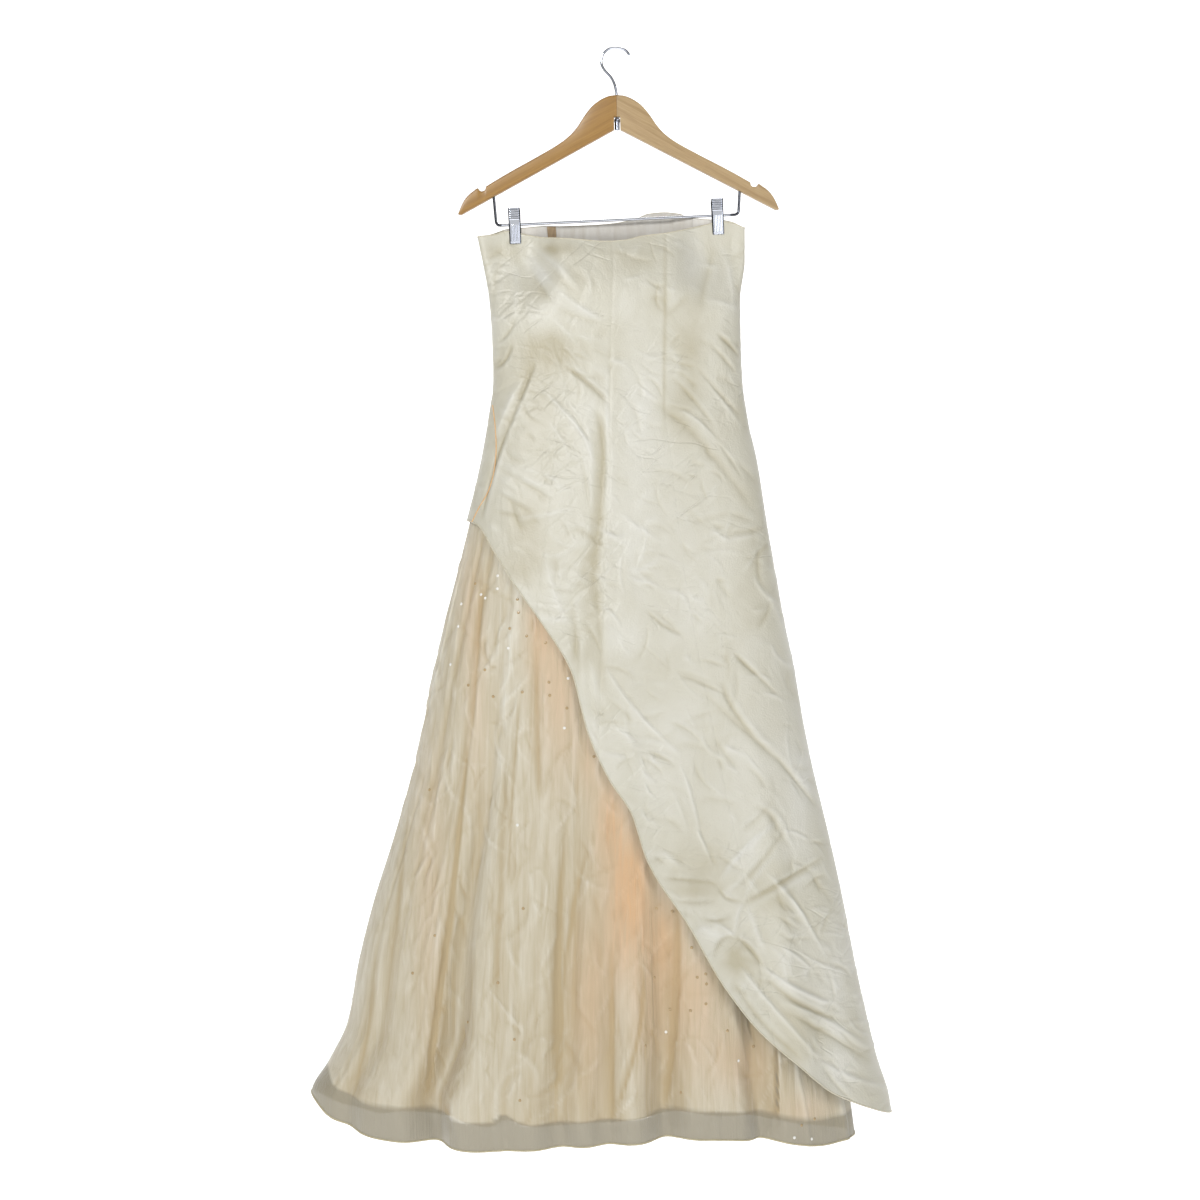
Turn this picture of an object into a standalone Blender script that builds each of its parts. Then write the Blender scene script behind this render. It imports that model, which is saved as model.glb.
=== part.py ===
"""A strapless party dress, hung by two clips from a wooden hanger.

Run it with: blender --background --python part.py
Units are metres and +Z is up. The dress faces -Y, so +X is the viewer's right.
The origin is the inside top of the hook, where a rail or a wall hook holds it.
A "drop" is a distance straight down from that origin.
A "share" is a place across the dress, from -1 at its left edge to 1 at its right one.
"""

import math
from collections import namedtuple

import bmesh
import bpy
import numpy as np
from mathutils import Matrix, Vector

# Cloth walls and the room between them
SATIN_WALL = 0.0012
ORGANZA_WALL = 0.0010
LINING_WALL = 0.0010
FACING_WALL = 0.0010
SEAM_GAP = 0.0003
LAYER_GAP = 0.0004
EDGE_ROUND = 0.006  # radius that a section keeps at the side seams

# Skirts
ORGANZA_TOP = 0.500
LINING_TOP = 0.520
SKIRT_LOW = 1.500
ROW_GATHER = 1.25  # over 1 brings the rows closer together near the top
LINING_SHORT = 0.034  # how much higher the lining ends than the organza
LINING_SPREAD = 1.9  # its folds are this much wider than the organza's
FOLD_LEAN = 0.13  # how far the folds lean to the left on their way up, as a share
FOLD_GROWTH = 1.3  # power of their growth on the way down
FOLD_MOST = 1.05  # growth at which they stop, a little below SKIRT_LOW

# Facing along the inside of the back's top edge
FACING_ROWS = (0.0, 0.013, 0.028)  # below its upper edge
FACING_REACH = 0.162  # half its length across
FACING_LOWER = 0.0006  # below the back's edge
TAPE_LEFT = -0.1000
TAPE_RIGHT = -0.0876
TAPE_WALL = 0.0010

# Wooden hanger
HANGER_TILT = math.radians(0.9)  # its right end is the higher one
HANGER_DEPTH = 0.012
HANGER_ROUND = 0.0026
ROUNDED_ANGLE = math.radians(60)  # edges sharper than this are rounded
JOINT_GAP = 0.0003
APEX_DROP = 0.1103
BOTTOM_SLOPE = 0.5356
NOTCH_PLACE = (0.1890, 0.1897)
NOTCH_RADIUS = 0.0054
NOTCH_TURNS = (168, 205, 240, 275, 310, 345)  # degrees of its points
TIP_FOOT = 0.0050  # from the tip's last point to the lower edge
SLOT_HALF = 0.0044
SLOT_TOP = 0.0950
SLOT_ROUND = 0.0020
BORE_SIDES = 12
BORE_OVER = 0.009  # how far the shank's bore starts above the wood

# Hook and trouser bar
HOOK_WIRE = 0.0017
BAR_WIRE = 0.0019
WIRE_GAP = 0.0003
WIRE_BEVEL = 2
HOOK_STEPS = 4
HOOK_TIP = 0.0008
HOOK_TIP_SHARE = 0.6  # of the wire's radius at its rounded end
BAR_SLOPE = 0.0458  # it rises to the right
BAR_MIDDLE_DROP = 0.2377
BAR_CORNER = 0.006
BAR_CORNER_STEPS = 6
BAR_LEGS = ((-0.1663, -0.1712, 0.1925), (0.1703, 0.1725, 0.1870))  # x at the corner, x and drop at the top

# Clips
CLIP_PLACES = (("left", -0.1408), ("right", 0.1412))
CLIP_WIDTH = 0.0166
CLIP_TOP = 0.0218
CLIP_LOW = 0.0272
JAW_WALL = 0.0011
GRIP_FOOT = 0.0062
GRIP_RIBS = 5
RIB_HEIGHT = 0.0006
PIVOT_RADIUS = 0.0032
PIVOT_LENGTH = 0.0140
PIVOT_SIDES = 16
PINCH_HALF = 0.0022  # from the middle to the satin's face between the jaws
PINCH_EDGE = 0.0103  # half the width pressed by the lip itself
PINCH_FLAT = 0.016
PINCH_REACH = 0.045
PINCH_BELOW = 0.004
PINCH_FADE = 0.110

# Sections of the whole dress, worked from its outline
Outline = namedtuple("Outline", "drop left right front back tuck")
OUTLINE = (
    Outline(0.2300, -0.1960, 0.1794, 0.021, 0.013, 0.000),
    Outline(0.2545, -0.1940, 0.1794, 0.022, 0.014, 0.000),
    Outline(0.2934, -0.1863, 0.1794, 0.036, 0.030, 0.000),
    Outline(0.3490, -0.1766, 0.1731, 0.048, 0.040, 0.000),
    Outline(0.4047, -0.1724, 0.1738, 0.048, 0.042, 0.000),
    Outline(0.4603, -0.1710, 0.1759, 0.050, 0.046, 0.000),
    Outline(0.5159, -0.1780, 0.1836, 0.056, 0.052, 0.000),
    Outline(0.5716, -0.1877, 0.1961, 0.062, 0.058, 0.000),
    Outline(0.6550, -0.2075, 0.2093, 0.070, 0.066, 0.001),
    Outline(0.7662, -0.2360, 0.2288, 0.080, 0.075, 0.003),
    Outline(0.8775, -0.2625, 0.2496, 0.090, 0.084, 0.006),
    Outline(0.9887, -0.2866, 0.2712, 0.100, 0.092, 0.010),
    Outline(1.1000, -0.3191, 0.2976, 0.112, 0.100, 0.015),
    Outline(1.1834, -0.3457, 0.3157, 0.120, 0.106, 0.020),
    Outline(1.2669, -0.3669, 0.3317, 0.128, 0.112, 0.028),
    Outline(1.3503, -0.3824, 0.3504, 0.135, 0.118, 0.036),
    Outline(1.4059, -0.4091, 0.3643, 0.140, 0.122, 0.042),
    Outline(1.4477, -0.4327, 0.3782, 0.143, 0.124, 0.045),
    Outline(1.5150, -0.4350, 0.3880, 0.146, 0.126, 0.045),
)

# Seams of the satin, as shares
Seams = namedtuple("Seams", "drop front_left front_middle front_right back_left back_middle back_right")
SEAMS = (
    Seams(0.2700, -0.09, 0.000, 0.42, -0.45, 0.00, 0.45),
    Seams(0.3200, -0.20, -0.010, 0.42, -0.46, 0.00, 0.46),
    Seams(0.3650, -0.31, -0.030, 0.41, -0.46, 0.00, 0.46),
    Seams(0.4200, -0.43, -0.050, 0.39, -0.45, 0.00, 0.45),
    Seams(0.5000, -0.49, -0.065, 0.37, -0.44, 0.00, 0.44),
    Seams(0.7100, -0.46, -0.060, 0.43, -0.44, 0.00, 0.45),
    Seams(0.9800, -0.45, -0.060, 0.54, -0.44, 0.00, 0.50),
    Seams(1.2500, -0.45, -0.060, 0.61, -0.44, 0.00, 0.54),
    Seams(1.4800, -0.45, -0.060, 0.64, -0.44, 0.00, 0.56),
)

# Panels of the satin, in order round the dress
Panel = namedtuple("Panel", "name side first last")
SATIN_PANELS = (
    Panel("satin_side_front_left", "front", "left_side", "left"),
    Panel("satin_front_left", "front", "left", "middle"),
    Panel("satin_front_right", "front", "middle", "right"),
    Panel("satin_side_front_right", "front", "right", "right_side"),
    Panel("satin_side_back_right", "back", "right_side", "right"),
    Panel("satin_back_right", "back", "right", "middle"),
    Panel("satin_back_left", "back", "middle", "left"),
    Panel("satin_side_back_left", "back", "left", "left_side"),
)
SATIN_PITCH = math.radians(9.0)
NEAR_FEATURE = 0.125  # a column this share of the pitch from another is left out
NEAR_COLUMN = 0.01  # radians from a strip's end within which no column is kept
TOP_ROWS = (0.0, 0.013, 0.028, 0.048, 0.080)  # below the top edge
LOWER_ROWS = 12
HEM_PASSES = 4  # rounds that settle the seams' angles and the hem's drops
SURFACE_STEP = 1e-4
SHARP_ANGLE = math.radians(42)

# Top edges of the front and of the back
TopEdge = namedtuple("TopEdge", "share front back")
TOP_EDGE = (
    TopEdge(-1.00, 0.2614, 0.2614),
    TopEdge(-0.89, 0.2587, 0.2560),
    TopEdge(-0.79, 0.2537, 0.2505),
    TopEdge(-0.65, 0.2587, 0.2485),
    TopEdge(-0.50, 0.2642, 0.2455),
    TopEdge(-0.25, 0.2684, 0.2440),
    TopEdge(-0.05, 0.2712, 0.2420),
    TopEdge(0.10, 0.2695, 0.2385),
    TopEdge(0.22, 0.2642, 0.2336),
    TopEdge(0.30, 0.2620, 0.2292),
    TopEdge(0.42, 0.2592, 0.2280),
    TopEdge(0.52, 0.2550, 0.2295),
    TopEdge(0.62, 0.2500, 0.2345),
    TopEdge(0.72, 0.2452, 0.2366),
    TopEdge(0.86, 0.2406, 0.2380),
    TopEdge(0.94, 0.2425, 0.2410),
    TopEdge(1.00, 0.2489, 0.2489),
)

# Hems: the satin's slanted one and the organza's level one
Hem = namedtuple("Hem", "share drop")
SATIN_HEM = (
    Hem(-1.00, 0.655),
    Hem(-0.92, 0.663),
    Hem(-0.78, 0.698),
    Hem(-0.64, 0.736),
    Hem(-0.38, 0.806),
    Hem(-0.22, 0.862),
    Hem(-0.11, 0.950),
    Hem(0.00, 1.010),
    Hem(0.10, 1.052),
    Hem(0.17, 1.115),
    Hem(0.34, 1.203),
    Hem(0.47, 1.288),
    Hem(0.57, 1.343),
    Hem(0.70, 1.393),
    Hem(0.80, 1.432),
    Hem(0.94, 1.463),
    Hem(1.00, 1.475),
)
ORGANZA_HEM = (
    Hem(-1.00, 1.447),
    Hem(-0.97, 1.456),
    Hem(-0.91, 1.473),
    Hem(-0.85, 1.482),
    Hem(-0.74, 1.493),
    Hem(-0.60, 1.497),
    Hem(-0.36, 1.504),
    Hem(-0.14, 1.501),
    Hem(0.10, 1.495),
    Hem(0.44, 1.489),
    Hem(0.65, 1.495),
    Hem(0.87, 1.508),
    Hem(1.00, 1.505),
)

# How far each skirt lies inside the outline
Inset = namedtuple("Inset", "drop organza lining")
INSETS = (
    Inset(0.500, 0.0020, 0.0036),
    Inset(0.520, 0.0026, 0.0041),
    Inset(0.560, 0.0040, 0.0075),
    Inset(0.660, 0.0058, 0.0120),
    Inset(0.900, 0.0080, 0.0185),
    Inset(1.200, 0.0095, 0.0235),
    Inset(1.515, 0.0100, 0.0270),
)

# The two skirts: columns lie at these parts of a fold's width, and a pitch apart between
Skirt = namedtuple("Skirt", "top shorter wall pitch flanks spread rows")
ORGANZA_SKIRT = Skirt(
    ORGANZA_TOP, 0.0, ORGANZA_WALL, math.radians(7.0), (-1.7, -0.8, 0.0, 0.8, 1.7), 1.0, 12
)
LINING_SKIRT = Skirt(
    LINING_TOP, LINING_SHORT, LINING_WALL, math.radians(9.0), (-1.0, 0.0, 1.0), LINING_SPREAD, 10
)
GORES = (
    ("front_left", -math.pi, -math.pi / 2),
    ("front_right", -math.pi / 2, 0.0),
    ("back_right", 0.0, math.pi / 2),
    ("back_left", math.pi / 2, math.pi),
)

# Folds that hang in the organza; the width is an angle round the section
Fold = namedtuple("Fold", "side share width depth start")
ORGANZA_FOLDS = (
    Fold("front", -0.850, 0.080, 0.012, 1.15),
    Fold("front", -0.540, 0.070, 0.044, 0.80),
    Fold("front", -0.270, 0.080, 0.013, 0.90),
    Fold("front", -0.075, 0.070, 0.026, 0.75),
    Fold("front", 0.096, 0.060, 0.022, 0.90),
    Fold("front", 0.315, 0.070, 0.040, 1.00),
    Fold("front", 0.666, 0.070, 0.028, 0.95),
    Fold("back", 0.700, 0.075, 0.026, 0.95),
    Fold("back", 0.400, 0.080, 0.034, 0.85),
    Fold("back", 0.140, 0.075, 0.020, 1.00),
    Fold("back", -0.190, 0.080, 0.030, 0.85),
    Fold("back", -0.470, 0.080, 0.024, 0.95),
    Fold("back", -0.780, 0.085, 0.018, 1.00),
)

# Soft ridges of the satin overskirt
Ridge = namedtuple("Ridge", "side share width height start")
SATIN_RIDGES = (
    Ridge("front", 0.12, 0.10, 0.0060, 0.62),
    Ridge("front", 0.33, 0.08, 0.0045, 0.60),
    Ridge("front", 0.72, 0.09, 0.0075, 0.80),
    Ridge("back", 0.68, 0.10, 0.0075, 0.78),
    Ridge("back", 0.28, 0.10, 0.0060, 0.66),
    Ridge("back", -0.20, 0.10, 0.0040, 0.58),
)

# Upper edge of one arm of the hanger, from the joint to the notch, and its rounded tip
ArmPoint = namedtuple("ArmPoint", "reach drop")
ARM_TOP = (
    ArmPoint(0.0000, 0.0643),
    ArmPoint(0.0090, 0.0652),
    ArmPoint(0.0181, 0.0683),
    ArmPoint(0.0275, 0.0738),
    ArmPoint(0.0350, 0.0800),
    ArmPoint(0.0449, 0.0920),
    ArmPoint(0.0556, 0.1080),
    ArmPoint(0.0654, 0.1190),
    ArmPoint(0.0793, 0.1298),
    ArmPoint(0.1120, 0.1487),
    ArmPoint(0.1480, 0.1680),
)
ARM_TIP = (
    ArmPoint(0.2005, 0.1943),
    ArmPoint(0.2072, 0.1994),
    ArmPoint(0.2135, 0.2065),
    ArmPoint(0.2182, 0.2147),
    ArmPoint(0.2217, 0.2233),
    ArmPoint(0.2222, 0.2262),
    ArmPoint(0.2187, 0.2274),
)

# The hook's riveted foot: its radius from the lowest point up to the shank
FootPoint = namedtuple("FootPoint", "drop radius")
HOOK_FOOT = (
    FootPoint(APEX_DROP + 0.0026, 0.0018),
    FootPoint(APEX_DROP + 0.0022, 0.0028),
    FootPoint(SLOT_TOP + 0.0072, 0.0028),
    FootPoint(SLOT_TOP + 0.0066, 0.0039),
    FootPoint(SLOT_TOP + 0.0026, 0.0039),
    FootPoint(SLOT_TOP + 0.0010, 0.0026),
    FootPoint(SLOT_TOP + 0.0006, HOOK_WIRE),
)

# Centre line of the hook above the wood, in the hanger's own frame
HookPoint = namedtuple("HookPoint", "x drop")
HOOK_LINE = (
    HookPoint(0.0000, 0.0640),
    HookPoint(-0.0012, 0.0560),
    HookPoint(-0.0031, 0.0480),
    HookPoint(-0.0076, 0.0389),
    HookPoint(-0.0171, 0.0278),
    HookPoint(-0.0206, 0.0181),
    HookPoint(-0.0182, 0.0070),
    HookPoint(-0.0102, -0.0003),
    HookPoint(-0.0006, -0.0020),
    HookPoint(0.0090, -0.0003),
    HookPoint(0.0145, 0.0028),
    HookPoint(0.0181, 0.0078),
)

# Inner face of a jaw, from its lip up to the finger grip's top, above the bar
JawPoint = namedtuple("JawPoint", "out up")
JAW_INNER = (
    JawPoint(0.0025, -CLIP_LOW),
    JawPoint(0.0025, -CLIP_LOW + 0.0016),
    JawPoint(0.0030, -CLIP_LOW + 0.0034),
    JawPoint(0.0035, 0.0000),
    JawPoint(0.0042, GRIP_FOOT),
    JawPoint(0.0104, CLIP_TOP),
)
RibPoint = namedtuple("RibPoint", "part height")
RIB = (
    RibPoint(0.18, RIB_HEIGHT),
    RibPoint(0.50, RIB_HEIGHT),
    RibPoint(0.68, 0.0),
    RibPoint(0.96, 0.0),
)


def clear_scene():
    for thing in list(bpy.data.objects):
        bpy.data.objects.remove(thing, do_unlink=True)


def finish(name, colour, roughness, metallic=0.0):
    """A plain material of the piece's own colour."""
    made = bpy.data.materials.new(name)
    made.use_nodes = True
    shader = made.node_tree.nodes["Principled BSDF"]
    shader.inputs["Base Color"].default_value = (*colour, 1.0)
    shader.inputs["Roughness"].default_value = roughness
    shader.inputs["Metallic"].default_value = metallic
    made.diffuse_color = (*colour, 1.0)
    return made


def satin():
    return finish("champagne_satin", (0.68, 0.65, 0.53), 0.35)


def organza():
    return finish("cream_organza", (0.66, 0.60, 0.44), 0.50)


def lining_cloth():
    return finish("peach_lining", (0.78, 0.55, 0.34), 0.45)


def facing_cloth():
    return finish("grey_facing", (0.60, 0.57, 0.54), 0.55)


def tape_cloth():
    return finish("tan_tape", (0.42, 0.32, 0.21), 0.60)


def beech():
    return finish("beech_wood", (0.56, 0.37, 0.17), 0.45)


def chrome():
    return finish("chrome", (0.80, 0.80, 0.82), 0.15, 1.0)


def mesh_from(build, name):
    mesh = bpy.data.meshes.new(name)
    build.to_mesh(mesh)
    build.free()
    return mesh


def add_object(name, mesh, material):
    mesh.materials.append(material)
    piece = bpy.data.objects.new(name, mesh)
    bpy.context.scene.collection.objects.link(piece)
    return piece


def shade(piece):
    piece.data.shade_smooth()
    piece.data.set_sharp_from_angle(angle=SHARP_ANGLE)


def smooth(rows, column, at):
    """Reads a column of a table on a cubic through its rows that never overshoots them."""
    known = np.array([row[0] for row in rows])
    values = np.array([getattr(row, column) for row in rows])
    step = np.diff(known)
    slope = np.diff(values) / step
    tangent = np.empty(len(values))
    tangent[0] = slope[0]
    tangent[-1] = slope[-1]
    product = slope[:-1] * slope[1:]
    total = np.where(product > 0, slope[:-1] + slope[1:], 1.0)
    tangent[1:-1] = np.where(product > 0, 2 * product / total, 0.0)
    at = np.clip(at, known[0], known[-1])
    index = np.clip(np.searchsorted(known, at) - 1, 0, len(step) - 1)
    part = (at - known[index]) / step[index]
    rest = 1 - part
    return (
        rest * rest * (1 + 2 * part) * values[index]
        + part * part * (3 - 2 * part) * values[index + 1]
        + part * rest * rest * step[index] * tangent[index]
        - part * part * rest * step[index] * tangent[index + 1]
    )


def ease(part):
    """A soft step from 0 to 1."""
    part = np.clip(part, 0.0, 1.0)
    return part * part * (3 - 2 * part)


def angle_at(share, side):
    """Angle round the section of a share on the front or the back."""
    angle = math.acos(max(-1.0, min(1.0, share)))
    return -angle if side == "front" else angle


def bar_drop(x):
    return BAR_MIDDLE_DROP - BAR_SLOPE * x


def pinched(x, y, drop):
    """Presses the cloth flat between the clips' jaws, and eases out of it round them."""
    for _, place in CLIP_PLACES:
        low = bar_drop(place) + CLIP_LOW + PINCH_BELOW
        across = 1 - ease((np.abs(x - place) - PINCH_FLAT) / (PINCH_REACH - PINCH_FLAT))
        down = 1 - ease((drop - low) / PINCH_FADE)
        press = across * down
        flat = np.sign(y) * np.minimum(np.abs(y), PINCH_HALF)
        y = y * (1 - press) + flat * press
    return y


def section(angle, drop, inset, tucked):
    """A point of a section: an ellipse's parallel curve, inset from the outline.

    x = middle + half cos(angle) + reach nx and y = deep sin(angle) + reach ny,
    where (nx, ny) is the ellipse's own normal and reach is EDGE_ROUND less the inset.
    """
    left = smooth(OUTLINE, "left", drop)
    right = smooth(OUTLINE, "right", drop) - tucked * smooth(OUTLINE, "tuck", drop)
    front = smooth(OUTLINE, "front", drop)
    back = smooth(OUTLINE, "back", drop)
    half = (right - left) / 2 - EDGE_ROUND
    deep = np.where(np.sin(angle) < 0, front, back) - EDGE_ROUND
    nx = deep * np.cos(angle)
    ny = half * np.sin(angle)
    length = np.hypot(nx, ny)
    reach = EDGE_ROUND - inset
    x = (left + right) / 2 + half * np.cos(angle) + reach * nx / length
    y = deep * np.sin(angle) + reach * ny / length
    return x, y


def ridge_height(angle, drop):
    """How far the satin's soft ridges stand out, growing on the way down."""
    height = np.zeros_like(angle)
    for ridge in SATIN_RIDGES:
        away = (angle - angle_at(ridge.share, ridge.side)) / ridge.width
        grown = ease((drop - ridge.start) / (SKIRT_LOW - ridge.start))
        height = height + ridge.height * grown * np.exp(-away * away)
    return height


def satin_surface(angle, drop):
    x, y = section(angle, drop, -ridge_height(angle, drop), 0.0)
    return np.stack([x, pinched(x, y, drop), -drop], axis=-1)


def leaned(angle, drop):
    """Where a fold that reaches the hem at this angle lies at a drop: it leans left going up."""
    up = (SKIRT_LOW - drop) / (SKIRT_LOW - ORGANZA_TOP)
    share = np.cos(angle)
    share = share - FOLD_LEAN * (1 - share * share) * up
    return np.where(np.sin(angle) < 0, -1.0, 1.0) * np.arccos(np.clip(share, -1.0, 1.0))


def fold_depth(angle, drop, spread):
    """How deep the folds lie at a drop, spread wider for the lining under them."""
    depth = np.zeros_like(angle)
    for fold in ORGANZA_FOLDS:
        away = (angle - angle_at(fold.share, fold.side)) / (fold.width * spread)
        grown = np.clip((drop - fold.start) / (SKIRT_LOW - fold.start), 0.0, FOLD_MOST) ** FOLD_GROWTH
        depth = depth + fold.depth * grown * np.exp(-away * away)
    return depth


def organza_surface(angle, drop):
    inset = smooth(INSETS, "organza", drop) + fold_depth(angle, drop, 1.0)
    x, y = section(leaned(angle, drop), drop, inset, 1.0)
    return np.stack([x, y, -drop], axis=-1)


def lining_surface(angle, drop):
    inset = smooth(INSETS, "lining", drop) + fold_depth(angle, drop, LINING_SPREAD)
    x, y = section(leaned(angle, drop), drop, inset, 1.0)
    return np.stack([x, y, -drop], axis=-1)


def directions(surface, angle, drop):
    """Unit tangent round the section and unit outward normal, by small steps on the surface."""
    step = SURFACE_STEP
    round_it = surface(angle + step, drop) - surface(angle - step, drop)
    down_it = surface(angle, drop + step) - surface(angle, drop - step)
    normal = np.cross(down_it, round_it)
    tangent = round_it / np.linalg.norm(round_it, axis=-1, keepdims=True)
    return tangent, normal / np.linalg.norm(normal, axis=-1, keepdims=True)


def cloth_wall(name, surface, angle, drop, sunk, wall, material):
    """A closed wall of cloth on a grid of angles and drops.

    Its outer face lies "sunk" under the surface, and its side edges stop half a seam gap short.
    """
    points = surface(angle, drop)
    tangent, normal = directions(surface, angle, drop)
    points[:, 0] += tangent[:, 0] * SEAM_GAP / 2
    points[:, -1] -= tangent[:, -1] * SEAM_GAP / 2
    outer = points - normal * sunk
    inner = points - normal * (sunk + wall)
    rows, columns = angle.shape
    count = rows * columns
    number = np.arange(count).reshape(rows, columns)
    a, b = number[:-1, :-1], number[:-1, 1:]
    c, d = number[1:, 1:], number[1:, :-1]
    faces = [np.stack([a, d, c, b], axis=-1).reshape(-1, 4)]
    faces.append(np.stack([a, b, c, d], axis=-1).reshape(-1, 4) + count)
    around = np.concatenate([number[0, :-1], number[:-1, -1], number[-1, :0:-1], number[:0:-1, 0]])
    after = np.roll(around, -1)
    faces.append(np.stack([around, after, after + count, around + count], axis=-1))
    build = bmesh.new()
    for point in np.concatenate([outer.reshape(-1, 3), inner.reshape(-1, 3)]):
        build.verts.new(point)
    build.verts.ensure_lookup_table()
    for face in np.concatenate(faces):
        build.faces.new([build.verts[index] for index in face])
    bmesh.ops.recalc_face_normals(build, faces=build.faces)
    piece = add_object(name, mesh_from(build, name), material)
    shade(piece)
    return piece


def columns_between(first, last, pitch, features):
    """Angles from first to last about a pitch apart, with the features' own angles among them."""
    near = pitch * NEAR_FEATURE
    fixed = [first] + sorted(f for f in features if first + near < f < last - near) + [last]
    angles = []
    for low, high in zip(fixed, fixed[1:]):
        count = max(1, round((high - low) / pitch))
        angles.extend(np.linspace(low, high, count, endpoint=False))
    angles.append(last)
    return np.array(angles)


def share_of(x, drop):
    left = smooth(OUTLINE, "left", drop)
    right = smooth(OUTLINE, "right", drop)
    return (2 * x - left - right) / (right - left)


def edge_features(drop, side):
    """Angles along the top edge that need a column: where the clips' pinch bends, and the tape's edges."""
    places = [TAPE_LEFT, TAPE_RIGHT] if side == "back" else []
    for _, place in CLIP_PLACES:
        for away in (PINCH_EDGE, PINCH_FLAT, (PINCH_FLAT + PINCH_REACH) / 2, PINCH_REACH):
            places += [place - away, place + away]
    return [angle_at(share_of(x, drop), side) for x in places]


def seam_angle(side, seam, drop):
    """Angle of a seam at a drop. The side seams stay at the dress's edges."""
    turn = -1.0 if side == "front" else 1.0
    if seam == "left_side":
        return turn * math.pi + 0.0 * drop
    if seam == "right_side":
        return 0.0 * drop
    return turn * np.arccos(smooth(SEAMS, f"{side}_{seam}", drop))


def top_columns(panel):
    """Angles of a panel's columns along its top edge, close enough for where it is widest."""
    drop = smooth(TOP_EDGE, panel.side, 0.0)
    first = float(seam_angle(panel.side, panel.first, drop))
    last = float(seam_angle(panel.side, panel.last, drop))
    drops = np.array([row.drop for row in SEAMS])
    width = seam_angle(panel.side, panel.last, drops) - seam_angle(panel.side, panel.first, drops)
    pitch = SATIN_PITCH * (last - first) / np.max(width)
    return columns_between(first, last, pitch, edge_features(drop, panel.side))


def satin_panel(panel, material):
    """One panel of the satin, from the top edge to the slanted hem, between two seams."""
    top_angles = top_columns(panel)
    across = (top_angles - top_angles[0]) / (top_angles[-1] - top_angles[0])
    top = smooth(TOP_EDGE, panel.side, np.cos(top_angles))
    near = top + np.array(TOP_ROWS)[:, None]
    far_parts = np.linspace(0.0, 1.0, LOWER_ROWS + 1)[1:, None]
    drop = np.tile(top, (len(TOP_ROWS) + LOWER_ROWS, 1))
    for _ in range(HEM_PASSES):
        low = seam_angle(panel.side, panel.first, drop)
        high = seam_angle(panel.side, panel.last, drop)
        angle = low + (high - low) * across
        hem = smooth(SATIN_HEM, "drop", np.cos(angle[-1]))
        drop = np.concatenate([near, near[-1] + far_parts * (hem - near[-1])])
    cloth_wall(panel.name, satin_surface, angle, drop, 0.0, SATIN_WALL, material)


def build_satin():
    material = satin()
    for panel in SATIN_PANELS:
        satin_panel(panel, material)


def back_angles(low_x, high_x, inside):
    """Angles along the back's top edge from one x to a smaller one, with those inside between them."""
    drop = smooth(TOP_EDGE, "back", 0.0)
    first, last = (angle_at(share_of(x, drop), "back") for x in (high_x, low_x))
    near = NEAR_COLUMN
    return np.array([first] + [angle for angle in inside if first + near < angle < last - near] + [last])


def facing_strip(name, angles, sunk, wall, material):
    down = FACING_LOWER + np.array(FACING_ROWS)[:, None]
    drop = smooth(TOP_EDGE, "back", np.cos(angles)) + down
    angle = np.tile(angles, (len(FACING_ROWS), 1))
    cloth_wall(name, satin_surface, angle, drop, sunk, wall, material)


def build_facing():
    """A facing along the inside of the back's top edge, with a short tape sewn across it."""
    panels = [panel for panel in SATIN_PANELS if panel.side == "back"]
    columns = sorted(angle for panel in panels for angle in top_columns(panel)[1:])
    angles = back_angles(-FACING_REACH, FACING_REACH, columns)
    sunk = SATIN_WALL + LAYER_GAP
    facing_strip("facing_back", angles, sunk, FACING_WALL, facing_cloth())
    angles = back_angles(TAPE_LEFT, TAPE_RIGHT, columns)
    sunk += FACING_WALL + LAYER_GAP
    facing_strip("facing_tape", angles, sunk, TAPE_WALL, tape_cloth())


def fold_angles(flanks, spread):
    """Angles at the bottom and on both flanks of each fold, where its columns lie."""
    angles = []
    for fold in ORGANZA_FOLDS:
        middle = angle_at(fold.share, fold.side)
        angles += [middle + flank * fold.width * spread for flank in flanks]
    return angles


def build_skirt(name, surface, skirt, material):
    """Four gores round the dress, hung from a level edge under the satin."""
    features = fold_angles(skirt.flanks, skirt.spread)
    for place, first, last in GORES:
        angles = columns_between(first, last, skirt.pitch, features)
        hem = smooth(ORGANZA_HEM, "drop", np.cos(angles)) - skirt.shorter
        part = np.linspace(0.0, 1.0, skirt.rows)[:, None] ** ROW_GATHER
        drop = skirt.top + part * (hem - skirt.top)
        angle = np.tile(angles, (skirt.rows, 1))
        cloth_wall(f"{name}_{place}", surface, angle, drop, 0.0, skirt.wall, material)


def build_skirts():
    build_skirt("organza", organza_surface, ORGANZA_SKIRT, organza())
    build_skirt("lining", lining_surface, LINING_SKIRT, lining_cloth())


def arm_outline():
    """Outline of the right arm, from the joint over the top, the notch and the tip to the apex."""
    points = [(row.reach, row.drop) for row in ARM_TOP]
    points[0] = (JOINT_GAP / 2, ARM_TOP[0].drop)
    notch_x, notch_drop = NOTCH_PLACE
    for turn in NOTCH_TURNS:
        angle = math.radians(turn)
        up = NOTCH_RADIUS * math.sin(angle)
        points.append((notch_x + NOTCH_RADIUS * math.cos(angle), notch_drop - up))
    points += [(row.reach, row.drop) for row in ARM_TIP]
    foot = ARM_TIP[-1].reach - TIP_FOOT
    points.append((foot, APEX_DROP + BOTTOM_SLOPE * foot))
    points.append((SLOT_HALF, APEX_DROP + BOTTOM_SLOPE * SLOT_HALF))
    points.append((SLOT_HALF, SLOT_TOP + SLOT_ROUND))
    points.append((SLOT_HALF - SLOT_ROUND, SLOT_TOP))
    points.append((JOINT_GAP / 2, SLOT_TOP))
    return points


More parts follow.
